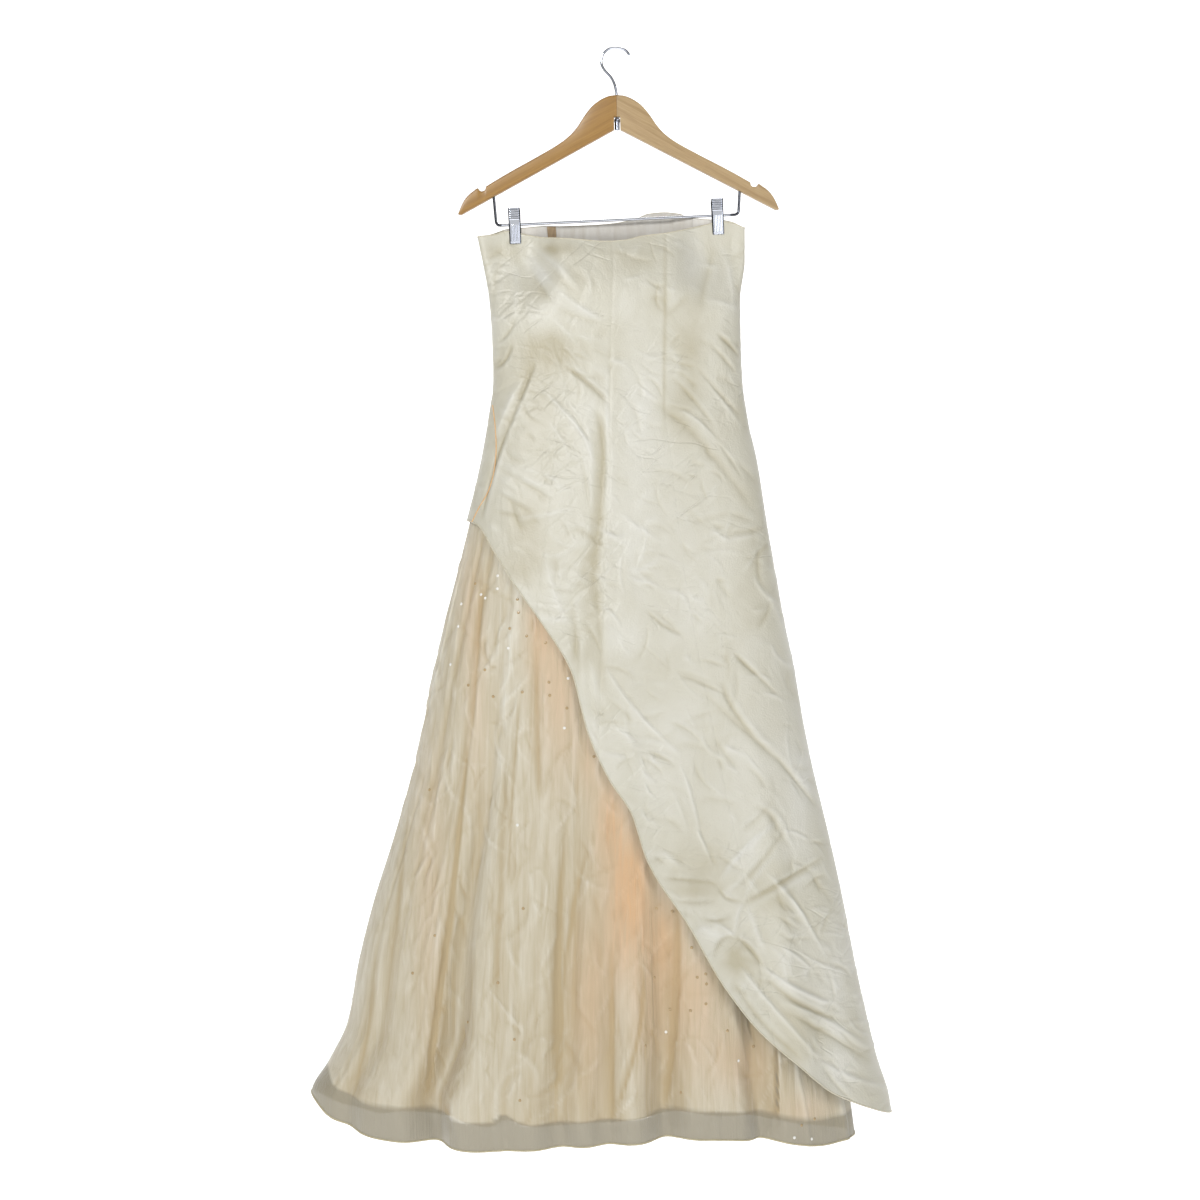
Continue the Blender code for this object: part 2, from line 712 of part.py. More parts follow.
def plate(name, outline, depth, material):
    """A flat board with this outline in X and Z, centred on Y."""
    build = bmesh.new()
    corners = [build.verts.new((x, -depth / 2, z)) for x, z in outline]
    face = build.faces.new(corners)
    pushed = bmesh.ops.extrude_face_region(build, geom=[face])
    moved = [item for item in pushed["geom"] if isinstance(item, bmesh.types.BMVert)]
    bmesh.ops.translate(build, vec=(0, depth, 0), verts=moved)
    bmesh.ops.recalc_face_normals(build, faces=build.faces)
    return add_object(name, mesh_from(build, name), material)


def cylinder_cutter(name, start, end, radius):
    """A hidden cylinder from start to end that bores a hole."""
    start, end = Vector(start), Vector(end)
    build = bmesh.new()
    long = (end - start).length
    bmesh.ops.create_cone(
        build, cap_ends=True, segments=BORE_SIDES, radius1=radius, radius2=radius, depth=long
    )
    turn = (end - start).to_track_quat("Z", "Y").to_matrix().to_4x4()
    bmesh.ops.transform(build, matrix=Matrix.Translation((start + end) / 2) @ turn, verts=build.verts)
    cutter = bpy.data.objects.new(name, mesh_from(build, name))
    bpy.context.scene.collection.objects.link(cutter)
    cutter.hide_render = True
    cutter.display_type = "WIRE"
    return cutter


def cut(piece, cutter):
    modifier = piece.modifiers.new(cutter.name, "BOOLEAN")
    modifier.operation = "DIFFERENCE"
    modifier.object = cutter


def hanger_frame():
    """The tilt that the arms and the hook share."""
    frame = bpy.data.objects.new("hanger_frame", None)
    frame.rotation_euler = (0.0, -HANGER_TILT, 0.0)
    bpy.context.scene.collection.objects.link(frame)
    return frame


def build_arms(frame):
    """Two beech arms that meet at the centre joint, bored for the hook and for the bar's legs."""
    material = beech()
    outline = arm_outline()
    above = (0, 0, BORE_OVER - ARM_TOP[0].drop)
    below = (0, 0, -SLOT_TOP - SLOT_ROUND)
    shank = cylinder_cutter("shank_bore", above, below, HOOK_WIRE + WIRE_GAP)
    shank.parent = frame
    for side, name, leg in ((-1, "left", BAR_LEGS[0]), (1, "right", BAR_LEGS[1])):
        arm = plate(f"hanger_arm_{name}", [(side * x, -drop) for x, drop in outline], HANGER_DEPTH, material)
        arm.parent = frame
        bevel = arm.modifiers.new("rounded_edges", "BEVEL")
        bevel.width = HANGER_ROUND
        bevel.segments = 2
        bevel.limit_method = "ANGLE"
        bevel.angle_limit = ROUNDED_ANGLE
        corner, top_x, top_drop = leg
        top = Vector((top_x, 0, -top_drop))
        foot = Vector((corner, 0, -bar_drop(corner)))
        over = (top - foot).normalized() * WIRE_GAP
        bore = cylinder_cutter(f"leg_bore_{name}", top + over, foot, BAR_WIRE + WIRE_GAP)
        cut(arm, shank)
        cut(arm, bore)
        shade(arm)


def wire(name, path, radii, material):
    """A round wire along a path, with its own radius at each point, closed at both ends."""
    curve = bpy.data.curves.new(name, "CURVE")
    curve.dimensions = "3D"
    curve.bevel_depth = 1.0
    curve.bevel_resolution = WIRE_BEVEL
    curve.use_fill_caps = True
    spline = curve.splines.new("POLY")
    spline.points.add(len(path) - 1)
    for point, place, radius in zip(spline.points, path, radii):
        point.co = (*place, 1.0)
        point.radius = radius
    spline.use_smooth = True
    return add_object(name, curve, material)


def smooth_path(points, steps):
    """Catmull-Rom curve through the points, with so many steps from one to the next."""
    points = [Vector(point) for point in points]
    padded = [2 * points[0] - points[1]] + points + [2 * points[-1] - points[-2]]
    path = []
    for before, start, end, after in zip(padded, padded[1:], padded[2:], padded[3:]):
        for number in range(steps):
            t = number / steps
            path.append(
                0.5 * (
                    2 * start
                    + (end - before) * t
                    + (2 * before - 5 * start + 4 * end - after) * t * t
                    + (3 * start - before - 3 * end + after) * t * t * t
                )
            )
    path.append(points[-1])
    return path


def build_hook(frame):
    """The hook's wire: its riveted foot in the slot, the shank in its bore, and the bend above."""
    path = [Vector((0, 0, -row.drop)) for row in HOOK_FOOT]
    radii = [row.radius for row in HOOK_FOOT]
    bend = smooth_path([(row.x, 0, -row.drop) for row in HOOK_LINE], HOOK_STEPS)
    path += bend
    radii += [HOOK_WIRE] * len(bend)
    tip = (bend[-1] - bend[-2]).normalized() * HOOK_TIP
    path.append(bend[-1] + tip)
    radii.append(HOOK_WIRE * HOOK_TIP_SHARE)
    hook = wire("hook", path, radii, chrome())
    hook.parent = frame


def build_bar():
    """The trouser bar: one wire with a leg up into each arm."""
    corners = []
    for corner, top_x, top_drop in BAR_LEGS:
        corners.append((Vector((top_x, 0, -top_drop)), Vector((corner, 0, -bar_drop(corner)))))
    (left_top, left_low), (right_top, right_low) = corners
    path = [left_top]
    for before, corner, after in ((left_top, left_low, right_low), (left_low, right_low, right_top)):
        into = (corner - before).normalized() * BAR_CORNER
        out = (after - corner).normalized() * BAR_CORNER
        for number in range(BAR_CORNER_STEPS + 1):
            t = number / BAR_CORNER_STEPS
            rest = 1 - t
            path.append(rest * rest * (corner - into) + 2 * t * rest * corner + t * t * (corner + out))
    path.append(right_top)
    wire("trouser_bar", path, [BAR_WIRE] * len(path), chrome())


def jaw_outline():
    """Side view of a jaw: how far it stands out and how high above the bar, lip to finger grip."""
    foot = JAW_INNER[-2]
    top = JAW_INNER[-1]
    outline = [(row.out, row.up) for row in JAW_INNER]
    outline.append((top.out + JAW_WALL, top.up))
    for number in range(GRIP_RIBS):
        for row in RIB:
            along = 1 - (number + row.part) / GRIP_RIBS
            out = foot.out + (top.out - foot.out) * along + JAW_WALL + row.height
            outline.append((out, foot.up + (top.up - foot.up) * along))
    for row in reversed(JAW_INNER[:-1]):
        outline.append((row.out + JAW_WALL, row.up))
    return outline


def build_jaw(name, side, frame, material):
    build = bmesh.new()
    corners = [build.verts.new((-CLIP_WIDTH / 2, side * out, up)) for out, up in jaw_outline()]
    face = build.faces.new(corners)
    pushed = bmesh.ops.extrude_face_region(build, geom=[face])
    moved = [item for item in pushed["geom"] if isinstance(item, bmesh.types.BMVert)]
    bmesh.ops.translate(build, vec=(CLIP_WIDTH, 0, 0), verts=moved)
    bmesh.ops.recalc_face_normals(build, faces=build.faces)
    jaw = add_object(name, mesh_from(build, name), material)
    jaw.parent = frame


def build_pivot(name, frame, material):
    """The clip's sleeve, which turns and slides on the bar."""
    inner = BAR_WIRE + WIRE_GAP
    half = PIVOT_LENGTH / 2
    profile = [(-half, inner), (half, inner), (half, PIVOT_RADIUS), (-half, PIVOT_RADIUS)]
    build = bmesh.new()
    corners = [build.verts.new((x, 0, radius)) for x, radius in profile]
    edges = [build.edges.new((corners[n], corners[(n + 1) % 4])) for n in range(4)]
    bmesh.ops.spin(
        build, geom=corners + edges, cent=(0, 0, 0), axis=(1, 0, 0),
        angle=math.tau, steps=PIVOT_SIDES, use_merge=True,
    )
    bmesh.ops.remove_doubles(build, verts=build.verts, dist=1e-6)
    bmesh.ops.recalc_face_normals(build, faces=build.faces)
    pivot = add_object(name, mesh_from(build, name), material)
    pivot.parent = frame
    shade(pivot)


def build_clips():
    """Two clips on the bar, square to it. Each has a front jaw, a back jaw and a pivot sleeve."""
    material = chrome()
    for name, place in CLIP_PLACES:
        frame = bpy.data.objects.new(f"clip_{name}_frame", None)
        frame.location = (place, 0.0, -bar_drop(place))
        frame.rotation_euler = (0.0, -math.atan(BAR_SLOPE), 0.0)
        bpy.context.scene.collection.objects.link(frame)
        build_jaw(f"clip_{name}_front_jaw", -1, frame, material)
        build_jaw(f"clip_{name}_back_jaw", 1, frame, material)
        build_pivot(f"clip_{name}_pivot", frame, material)


def main():
    clear_scene()
    build_satin()
    build_facing()
    build_skirts()
    frame = hanger_frame()
    build_arms(frame)
    build_hook(frame)
    build_bar()
    build_clips()
    bpy.context.view_layer.update()


main()
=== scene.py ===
import json
import math

import bmesh
import bpy
import numpy as np
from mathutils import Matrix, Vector


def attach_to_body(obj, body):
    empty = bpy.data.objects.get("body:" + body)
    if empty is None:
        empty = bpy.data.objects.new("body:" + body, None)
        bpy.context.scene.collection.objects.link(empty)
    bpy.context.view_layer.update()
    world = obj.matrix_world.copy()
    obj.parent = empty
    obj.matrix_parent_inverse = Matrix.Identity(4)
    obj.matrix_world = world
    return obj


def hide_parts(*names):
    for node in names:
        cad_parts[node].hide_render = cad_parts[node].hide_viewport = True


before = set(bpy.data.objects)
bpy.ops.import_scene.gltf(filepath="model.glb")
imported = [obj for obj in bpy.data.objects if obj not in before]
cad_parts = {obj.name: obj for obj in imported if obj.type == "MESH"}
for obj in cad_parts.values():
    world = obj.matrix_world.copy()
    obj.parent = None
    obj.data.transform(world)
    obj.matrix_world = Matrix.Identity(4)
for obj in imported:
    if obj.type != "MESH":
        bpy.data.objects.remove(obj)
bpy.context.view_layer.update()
print("frame loaded")

# where the photo was taken from: metres for one pixel at the hanger, and the camera's place
photo = {
    "pixel": 0.001390625,
    "middle": 600.0,
    "distance": 3.2,
    "x": -0.0222,
    "z": -0.766,
    "width": 1.66875,
    "sensor": 36.0,
    "seen": (0.05, 50.0),
}


def makeCamera():
    # looks level along +Y, at the point that lies in the middle of the photo
    lens = bpy.data.cameras.new("photoCamera")
    lens.sensor_width = photo["sensor"]
    lens.lens = photo["sensor"] * photo["distance"] / photo["width"]
    lens.clip_start, lens.clip_end = photo["seen"]
    camera = bpy.data.objects.new("photoCamera", lens)
    camera.location = (photo["x"], -photo["distance"], photo["z"])
    camera.rotation_euler = (math.pi / 2, 0, 0)
    bpy.context.scene.collection.objects.link(camera)
    bpy.context.scene.camera = camera


makeCamera()

# the sections of the dress: drop below the hook, then how far left, right, front and back they reach
outline = {
    "drop": (0.23, 0.2545, 0.2934, 0.349, 0.4047, 0.4603, 0.5159, 0.5716, 0.655, 0.7662,
             0.8775, 0.9887, 1.1, 1.1834, 1.2669, 1.3503, 1.4059, 1.4477, 1.515),
    "left": (-0.196, -0.194, -0.1863, -0.1766, -0.1724, -0.171, -0.178, -0.1877, -0.2075, -0.236,
             -0.2625, -0.2866, -0.3191, -0.3457, -0.3669, -0.3824, -0.4091, -0.4327, -0.435),
    "right": (0.1794, 0.1794, 0.1794, 0.1731, 0.1738, 0.1759, 0.1836, 0.1961, 0.2093, 0.2288,
              0.2496, 0.2712, 0.2976, 0.3157, 0.3317, 0.3504, 0.3643, 0.3782, 0.388),
    "front": (0.021, 0.022, 0.036, 0.048, 0.048, 0.05, 0.056, 0.062, 0.07, 0.08,
              0.09, 0.1, 0.112, 0.12, 0.128, 0.135, 0.14, 0.143, 0.146),
    "back": (0.013, 0.014, 0.03, 0.04, 0.042, 0.046, 0.052, 0.058, 0.066, 0.075,
             0.084, 0.092, 0.1, 0.106, 0.112, 0.118, 0.122, 0.124, 0.126),
    "tuck": (0, 0, 0, 0, 0, 0, 0, 0, 0.001, 0.003,
             0.006, 0.01, 0.015, 0.02, 0.028, 0.036, 0.042, 0.045, 0.045),
    "edge": 0.006,
}

# how the two clips press the cloth flat
pinch = {
    "places": (-0.1408, 0.1412),
    "half": 0.0022,
    "flat": 0.016,
    "reach": 0.070,
    "below": 0.0312,
    "fade": 0.110,
}
# the trouser bar: its legs are where the corner and the top stand, and the top's drop
bar = {
    "drop": 0.2377,
    "slope": 0.0458,
    "wire": 0.0019,
    "corner": 0.006,
    "legs": ((-0.1663, -0.1712, 0.1925), (0.1703, 0.1725, 0.1870)),
}

satinShape = {
    "topShare": (-1, -0.89, -0.79, -0.65, -0.5, -0.25, -0.05, 0.1, 0.22, 0.3, 0.42, 0.52, 0.62, 0.72,
                 0.86, 0.94, 1),
    "frontTop": (0.2614, 0.2587, 0.2537, 0.2587, 0.2642, 0.2684, 0.2712, 0.2695, 0.2642, 0.262, 0.2592,
                 0.255, 0.25, 0.2452, 0.2406, 0.2425, 0.2489),
    "backTop": (0.2614, 0.256, 0.2505, 0.2485, 0.2455, 0.244, 0.242, 0.2385, 0.2326, 0.2272, 0.2255,
                0.2275, 0.2338, 0.2366, 0.238, 0.241, 0.2489),
    "hemShare": (-1, -0.92, -0.78, -0.64, -0.38, -0.22, -0.11, 0, 0.1, 0.17, 0.34, 0.47, 0.57, 0.7, 0.8,
                 0.94, 1),
    "hemDrop": (0.655, 0.663, 0.698, 0.736, 0.806, 0.862, 0.95, 1.01, 1.052, 1.115, 1.203, 1.288, 1.343,
                1.393, 1.432, 1.463, 1.475),
    "seamDrop": (0.27, 0.32, 0.365, 0.42, 0.5, 0.71, 0.98, 1.25, 1.48),
    "frontLeft": (-0.09, -0.2, -0.31, -0.43, -0.49, -0.46, -0.45, -0.45, -0.45),
    "frontMiddle": (0, -0.01, -0.03, -0.05, -0.065, -0.06, -0.06, -0.06, -0.06),
    "frontRight": (0.42, 0.42, 0.41, 0.39, 0.37, 0.43, 0.54, 0.61, 0.64),
    "backLeft": (-0.45, -0.46, -0.46, -0.45, -0.44, -0.44, -0.44, -0.44, -0.44),
    "backMiddle": (0, 0, 0, 0, 0, 0, 0, 0, 0),
    "backRight": (0.45, 0.46, 0.46, 0.45, 0.44, 0.45, 0.5, 0.54, 0.56),
    "step": 0.0025,
    "seamDepth": 0.0004,
    "seamWidth": 0.0030,
    "low": 1.5,
    "span": (0.25, 1.48),
}
# the satin's broad ridges: side, share, width, height, where they start
satinRidges = (
    ("front", 0.12, 0.10, 0.0060, 0.62),
    ("front", 0.33, 0.08, 0.0045, 0.60),
    ("front", 0.72, 0.09, 0.0075, 0.80),
    ("back", 0.68, 0.10, 0.0075, 0.78),
    ("back", 0.28, 0.10, 0.0060, 0.66),
    ("back", -0.20, 0.10, 0.0040, 0.58),
)

skirtShape = {
    "hemShare": (-1, -0.97, -0.91, -0.85, -0.74, -0.6, -0.36, -0.14, 0.1, 0.44, 0.65, 0.87, 1),
    "hemDrop": (1.447, 1.456, 1.473, 1.482, 1.493, 1.497, 1.504, 1.501, 1.495, 1.489, 1.495, 1.508, 1.505),
    "insetDrop": (0.5, 0.52, 0.56, 0.66, 0.9, 1.2, 1.515),
    "organza": (0.002, 0.0026, 0.004, 0.0058, 0.008, 0.0095, 0.01),
    "lining": (0.0036, 0.0041, 0.0075, 0.012, 0.0185, 0.0235, 0.027),
    "organzaTop": 0.5,
    "liningTop": 0.52,
    "liningShort": 0.024,
    "liftShare": (-1, -0.81, -0.60, -0.50, -0.42, -0.33, -0.27, -0.21, -0.15, 0, 0.2, 0.37, 0.51, 0.72, 1),
    "lift": (0.006, 0.010, 0.012, 0.010, 0.006, 0.004, 0.014, 0.004, 0, 0, 0, 0.007, 0.004, 0.003, 0.002),
    "liningSpread": 1.9,
    "lean": 0.13,
    "growth": 1.3,
    "most": 1.05,
}
# the organza's deep folds: side, share, width, depth, where they start
organzaFolds = (
    ("front", -0.850, 0.080, 0.012, 1.15),
    ("front", -0.540, 0.070, 0.044, 0.80),
    ("front", -0.270, 0.080, 0.013, 0.90),
    ("front", -0.075, 0.070, 0.026, 0.75),
    ("front", 0.096, 0.060, 0.022, 0.90),
    ("front", 0.315, 0.070, 0.040, 1.00),
    ("front", 0.666, 0.070, 0.028, 0.95),
    ("back", 0.700, 0.075, 0.026, 0.95),
    ("back", 0.400, 0.080, 0.034, 0.85),
    ("back", 0.140, 0.075, 0.020, 1.00),
    ("back", -0.190, 0.080, 0.030, 0.85),
    ("back", -0.470, 0.080, 0.024, 0.95),
    ("back", -0.780, 0.085, 0.018, 1.00),
)


def readCurve(known, values, at):
    # a cubic through the values that never overshoots them, its slopes the harmonic mean of the neighbours'
    known = np.asarray(known, float)
    values = np.asarray(values, float)
    step = np.diff(known)
    slope = np.diff(values) / step
    product = slope[:-1] * slope[1:]
    total = np.where(product > 0, slope[:-1] + slope[1:], 1.0)
    tangent = np.concatenate([slope[:1], np.where(product > 0, 2 * product / total, 0.0), slope[-1:]])
    at = np.clip(at, known[0], known[-1])
    index = np.clip(np.searchsorted(known, at) - 1, 0, len(step) - 1)
    part = (at - known[index]) / step[index]
    rest = 1 - part
    return (rest * rest * (1 + 2 * part) * values[index]
            + part * part * (3 - 2 * part) * values[index + 1]
            + part * rest * rest * step[index] * tangent[index]
            - part * part * rest * step[index] * tangent[index + 1])


def ease(part):
    # soft step: 3 p squared less 2 p cubed
    part = np.clip(part, 0, 1)
    return part * part * (3 - 2 * part)


def outlineAt(key, drop):
    return readCurve(outline["drop"], outline[key], drop)


def satinTop(side, angle):
    return readCurve(satinShape["topShare"], satinShape[side + "Top"], np.cos(angle))


def satinHem(angle):
    return readCurve(satinShape["hemShare"], satinShape["hemDrop"], np.cos(angle))


def skirtHem(angle):
    return readCurve(skirtShape["hemShare"], skirtShape["hemDrop"], np.cos(angle))


def angleAt(share, side):
    angle = math.acos(share)
    return -angle if side == "front" else angle


def barDrop(x):
    return bar["drop"] - bar["slope"] * x


def pinched(x, y, drop):
    # near a clip y is eased towards the small half gap between its jaws
    for place in pinch["places"]:
        across = 1 - ease((np.abs(x - place) - pinch["flat"]) / (pinch["reach"] - pinch["flat"]))
        down = 1 - ease((drop - barDrop(place) - pinch["below"]) / pinch["fade"])
        press = across * down
        y = y * (1 - press) + np.sign(y) * np.minimum(np.abs(y), pinch["half"]) * press
    return y


def sectionPoint(angle, drop, inset, tucked):
    # an ellipse's parallel curve: its point plus its unit normal times the edge radius less the inset
    left = outlineAt("left", drop)
    right = outlineAt("right", drop) - tucked * outlineAt("tuck", drop)
    half = (right - left) / 2 - outline["edge"]
    deep = np.where(np.sin(angle) < 0, outlineAt("front", drop), outlineAt("back", drop)) - outline["edge"]
    nx = deep * np.cos(angle)
    ny = half * np.sin(angle)
    length = np.hypot(nx, ny)
    reach = outline["edge"] - inset
    x = (left + right) / 2 + half * np.cos(angle) + reach * nx / length
    return x, deep * np.sin(angle) + reach * ny / length


def satinBase(angle, drop):
    # the section with its broad ridges: bells round the dress that grow with an eased step down it
    ridges = np.zeros_like(angle)
    for side, share, width, height, start in satinRidges:
        bell = np.exp(-((angle - angleAt(share, side)) / width) ** 2)
        ridges = ridges + height * bell * ease((drop - start) / (satinShape["low"] - start))
    x, y = sectionPoint(angle, drop, -ridges, 0.0)
    return np.stack([x, pinched(x, y, drop), -drop], axis=-1)


def leaned(angle, drop):
    # the folds lean left on their way up: a share s gives up lean times (1 - s squared) times the height
    up = (satinShape["low"] - drop) / (satinShape["low"] - skirtShape["organzaTop"])
    share = np.cos(angle)
    share = share - skirtShape["lean"] * (1 - share * share) * up
    return np.where(np.sin(angle) < 0, -1.0, 1.0) * np.arccos(np.clip(share, -1.0, 1.0))


def foldDepth(angle, drop, spread):
    # bells round the dress, times a power of how far down the fold the point lies
    depth = np.zeros_like(angle)
    for side, share, width, deep, start in organzaFolds:
        bell = np.exp(-((angle - angleAt(share, side)) / (width * spread)) ** 2)
        grown = np.clip((drop - start) / (satinShape["low"] - start), 0, skirtShape["most"])
        depth = depth + deep * bell * grown ** skirtShape["growth"]
    return depth


def skirtBase(layer, spread):
    # a surface of angle and drop for one of the two skirts
    def surface(angle, drop):
        inset = readCurve(skirtShape["insetDrop"], skirtShape[layer], drop) + foldDepth(angle, drop, spread)
        x, y = sectionPoint(leaned(angle, drop), drop, inset, 1.0)
        return np.stack([x, y, -drop], axis=-1)
    return surface


def outward(surface, angle, drop):
    # unit normal: the cross product of the steps down and round the surface
    step = 1e-4
    roundIt = surface(angle + step, drop) - surface(angle - step, drop)
    downIt = surface(angle, drop + step) - surface(angle, drop - step)
    normal = np.cross(downIt, roundIt)
    return normal / np.linalg.norm(normal, axis=-1, keepdims=True)


def inPhoto(points):
    # pixel of the photo where a point shows: its offset from the camera's axis over its distance from it
    away = (photo["distance"] + points[..., 1]) * photo["pixel"] / photo["distance"]
    across = photo["middle"] + (points[..., 0] - photo["x"]) / away
    down = photo["middle"] - (points[..., 2] - photo["z"]) / away
    return across, down


def laidOut(surface, angle, drop):
    # a surface's points, their normals, and the photo's pixels where they show
    points = surface(angle, drop)
    return points, outward(surface, angle, drop), *inPhoto(points)


# a crease in widths: how far it reaches, how sharp and how rounded its crest is, and the bell beside it
creaseForm = {
    "reach": 3.2,
    "points": 9,
    "taper": 0.7,
    "sharp": 1.5,
    "round": 0.05,
    "crest": 0.2236,
    "beside": 0.35,
    "besidePlace": 1.5,
}


def creaseRelief(px, py, creases):
    # each crease is a sharp crest across a curve through three points, tapered to its ends, with a weaker
    # bell of the other sign beside it. Places and widths are in pixels and heights in metres.
    form = creaseForm
    t = np.linspace(0, 1, form["points"])
    relief = np.zeros_like(px)
    for x0, y0, xm, ym, x1, y1, width, height in creases:
        reach = form["reach"] * width
        cx, cy = 2 * xm - (x0 + x1) / 2, 2 * ym - (y0 + y1) / 2
        mask = ((px > min(x0, xm, x1) - reach) & (px < max(x0, xm, x1) + reach)
                & (py > min(y0, ym, y1) - reach) & (py < max(y0, ym, y1) + reach))
        if not mask.any():
            continue
        kx = (1 - t) ** 2 * x0 + 2 * t * (1 - t) * cx + t * t * x1
        ky = (1 - t) ** 2 * y0 + 2 * t * (1 - t) * cy + t * t * y1
        qx, qy = px[mask][:, None], py[mask][:, None]
        dx, dy = np.diff(kx), np.diff(ky)
        square = dx * dx + dy * dy + 1e-9
        along = np.clip(((qx - kx[:-1]) * dx + (qy - ky[:-1]) * dy) / square, 0, 1)
        offX = qx - kx[:-1] - along * dx
        offY = qy - ky[:-1] - along * dy
        distance = np.hypot(offX, offY)
        nearest = np.argmin(distance, axis=1)
        rows = np.arange(len(nearest))
        away = distance[rows, nearest] / width
        sign = np.sign((offX * dy - offY * dx)[rows, nearest])
        place = (nearest + along[rows, nearest]) / (form["points"] - 1)
        taper = np.sin(np.pi * np.clip(place, 0, 1)) ** form["taper"]
        sharp = np.exp(-form["sharp"] * (np.sqrt(away * away + form["round"]) - form["crest"]))
        beside = form["beside"] * np.exp(-(sign * away - form["besidePlace"]) ** 2)
        relief[mask] += height * taper * (sharp - beside)
    return relief


def fineCreases(seed, count, area, lengths, widths, heights, slant, spread):
    # short straight creases strewn over a rectangle of the photo, most of them near one slant in degrees
    draw = np.random.default_rng(seed)
    x = draw.uniform(area[0], area[2], count)
    y = draw.uniform(area[1], area[3], count)
    turn = np.radians(draw.normal(slant, spread, count))
    long = draw.uniform(*lengths, count)
    bend = draw.normal(0, 0.12, count) * long
    dx, dy = np.cos(turn) * long / 2, np.sin(turn) * long / 2
    width = draw.uniform(*widths, count)
    height = draw.uniform(*heights, count) * np.where(draw.random(count) < 0.5, -1, 1)
    return np.stack([x - dx, y - dy, x - bend * np.sin(turn), y + bend * np.cos(turn), x + dx, y + dy,
                     width, height], axis=-1)


def patchSum(px, py, patches):
    # sum of two-way bells
    total = np.zeros_like(px)
    for x, y, across, down, strength in patches:
        total = total + strength * np.exp(-((px - x) / across) ** 2 - ((py - y) / down) ** 2)
    return total


def makeObject(name, points, faces, material, smooth=True):
    mesh = bpy.data.meshes.new(name)
    mesh.from_pydata(np.asarray(points).reshape(-1, 3), [], faces)
    mesh.materials.append(material)
    if smooth:
        mesh.shade_smooth()
    piece = bpy.data.objects.new(name, mesh)
    bpy.context.scene.collection.objects.link(piece)
    return piece


def gridFaces(rows, columns, wrap=False):
    # quads of a grid, turned so that rows going down and columns going right face the viewer
    number = np.arange(rows * columns).reshape(rows, columns)
    if wrap:
        number = np.concatenate([number, number[:, :1]], axis=1)
    a, b, c, d = number[:-1, :-1], number[:-1, 1:], number[1:, 1:], number[1:, :-1]
    return np.stack([a, d, c, b], axis=-1).reshape(-1, 4)


def paint(piece, name, values):
    # one number at each vertex, for the materials to read
    layer = piece.data.attributes.new(name, "FLOAT", "POINT")
    layer.data.foreach_set("value", np.asarray(values, np.float32).ravel())


def thicken(piece, wall):
    solid = piece.modifiers.new("wall", "SOLIDIFY")
    solid.thickness = wall
    solid.offset = -1
    solid.use_rim = False


def closedMesh(name, points, faces, material, sharp=40):
    # a closed shape with its doubles merged and its faces turned outwards
    piece = makeObject(name, points, faces, material, smooth=False)
    build = bmesh.new()
    build.from_mesh(piece.data)
    bmesh.ops.remove_doubles(build, verts=build.verts, dist=1e-6)
    bmesh.ops.recalc_face_normals(build, faces=build.faces)
    build.to_mesh(piece.data)
    build.free()
    piece.data.shade_smooth()
    piece.data.set_sharp_from_angle(angle=math.radians(sharp))
    return piece


def ringAround(side, other, sides):
    # unit circles: the cosine of the turn times one vector plus its sine times the other
    turn = np.linspace(0, 2 * np.pi, sides, endpoint=False)
    return np.cos(turn)[None, :, None] * side[:, None] + np.sin(turn)[None, :, None] * other[:, None]


def tubeMesh(path, radius, across, sides):
    # rings round a path, square to it, each a unit circle times the radius there, with a cap at both ends
    path = np.asarray(path, float)
    radius = np.broadcast_to(radius, len(path))
    tangent = np.gradient(path, axis=0)
    tangent /= np.linalg.norm(tangent, axis=1, keepdims=True) + 1e-12
    across = np.broadcast_to(np.asarray(across, float), path.shape)
    side = np.cross(tangent, across)
    side /= np.linalg.norm(side, axis=1, keepdims=True) + 1e-12
    ring = ringAround(side, np.cross(side, tangent), sides)
    points = (path[:, None] + ring * radius[:, None, None]).reshape(-1, 3)
    points = np.concatenate([points, path[:1], path[-1:]])
    first, last = len(points) - 2, len(points) - 1
    number = np.arange(sides)
    after = (number + 1) % sides
    low = (len(path) - 1) * sides
    faces = [tuple(face) for face in gridFaces(len(path), sides, True)]
    faces += [(first, b, a) for a, b in zip(number, after)]
    faces += [(last, low + a, low + b) for a, b in zip(number, after)]
    return points, faces


def splinePath(points, steps):
    # Catmull-Rom through the points
    points = np.asarray(points, float)
    padded = np.concatenate([2 * points[:1] - points[1:2], points, 2 * points[-1:] - points[-2:-1]])
    t = np.linspace(0, 1, steps, endpoint=False)[None, :, None]
    before, start, end, after = (padded[n:len(padded) - 3 + n, None] for n in range(4))
    path = 0.5 * (2 * start + (end - before) * t + (2 * before - 5 * start + 4 * end - after) * t ** 2
                  + (3 * start - before - 3 * end + after) * t ** 3)
    return np.concatenate([path.reshape(-1, 3), points[-1:]])


def tube(name, path, radius, across, sides, material):
    points, faces = tubeMesh(path, radius, across, sides)
    return closedMesh(name, points, faces, material)


def sheetSizes(points):
    # the cut's widest row, measured level, its longest column and its area
    rowLength = np.linalg.norm(np.diff(points[..., :2], axis=1), axis=-1).sum(axis=1).max()
    columnLength = np.linalg.norm(np.diff(points, axis=0), axis=-1).sum(axis=0).max()
    first = points[1:, 1:] - points[:-1, :-1]
    second = points[1:, :-1] - points[:-1, 1:]
    area = np.linalg.norm(np.cross(first, second), axis=-1).sum() / 2
    return float(rowLength), float(columnLength), float(min(area, rowLength * columnLength))


sheetFacts = {}


def declareSheet(piece, points):
    width, length, area = sheetSizes(points)
    sheetFacts[piece.name] = (round(width, 3), round(length, 3), round(area, 3))


def attach(piece, slot, *nodes):
    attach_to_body(piece, "root")
    if nodes:
        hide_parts(*nodes)


print("shapes ready")


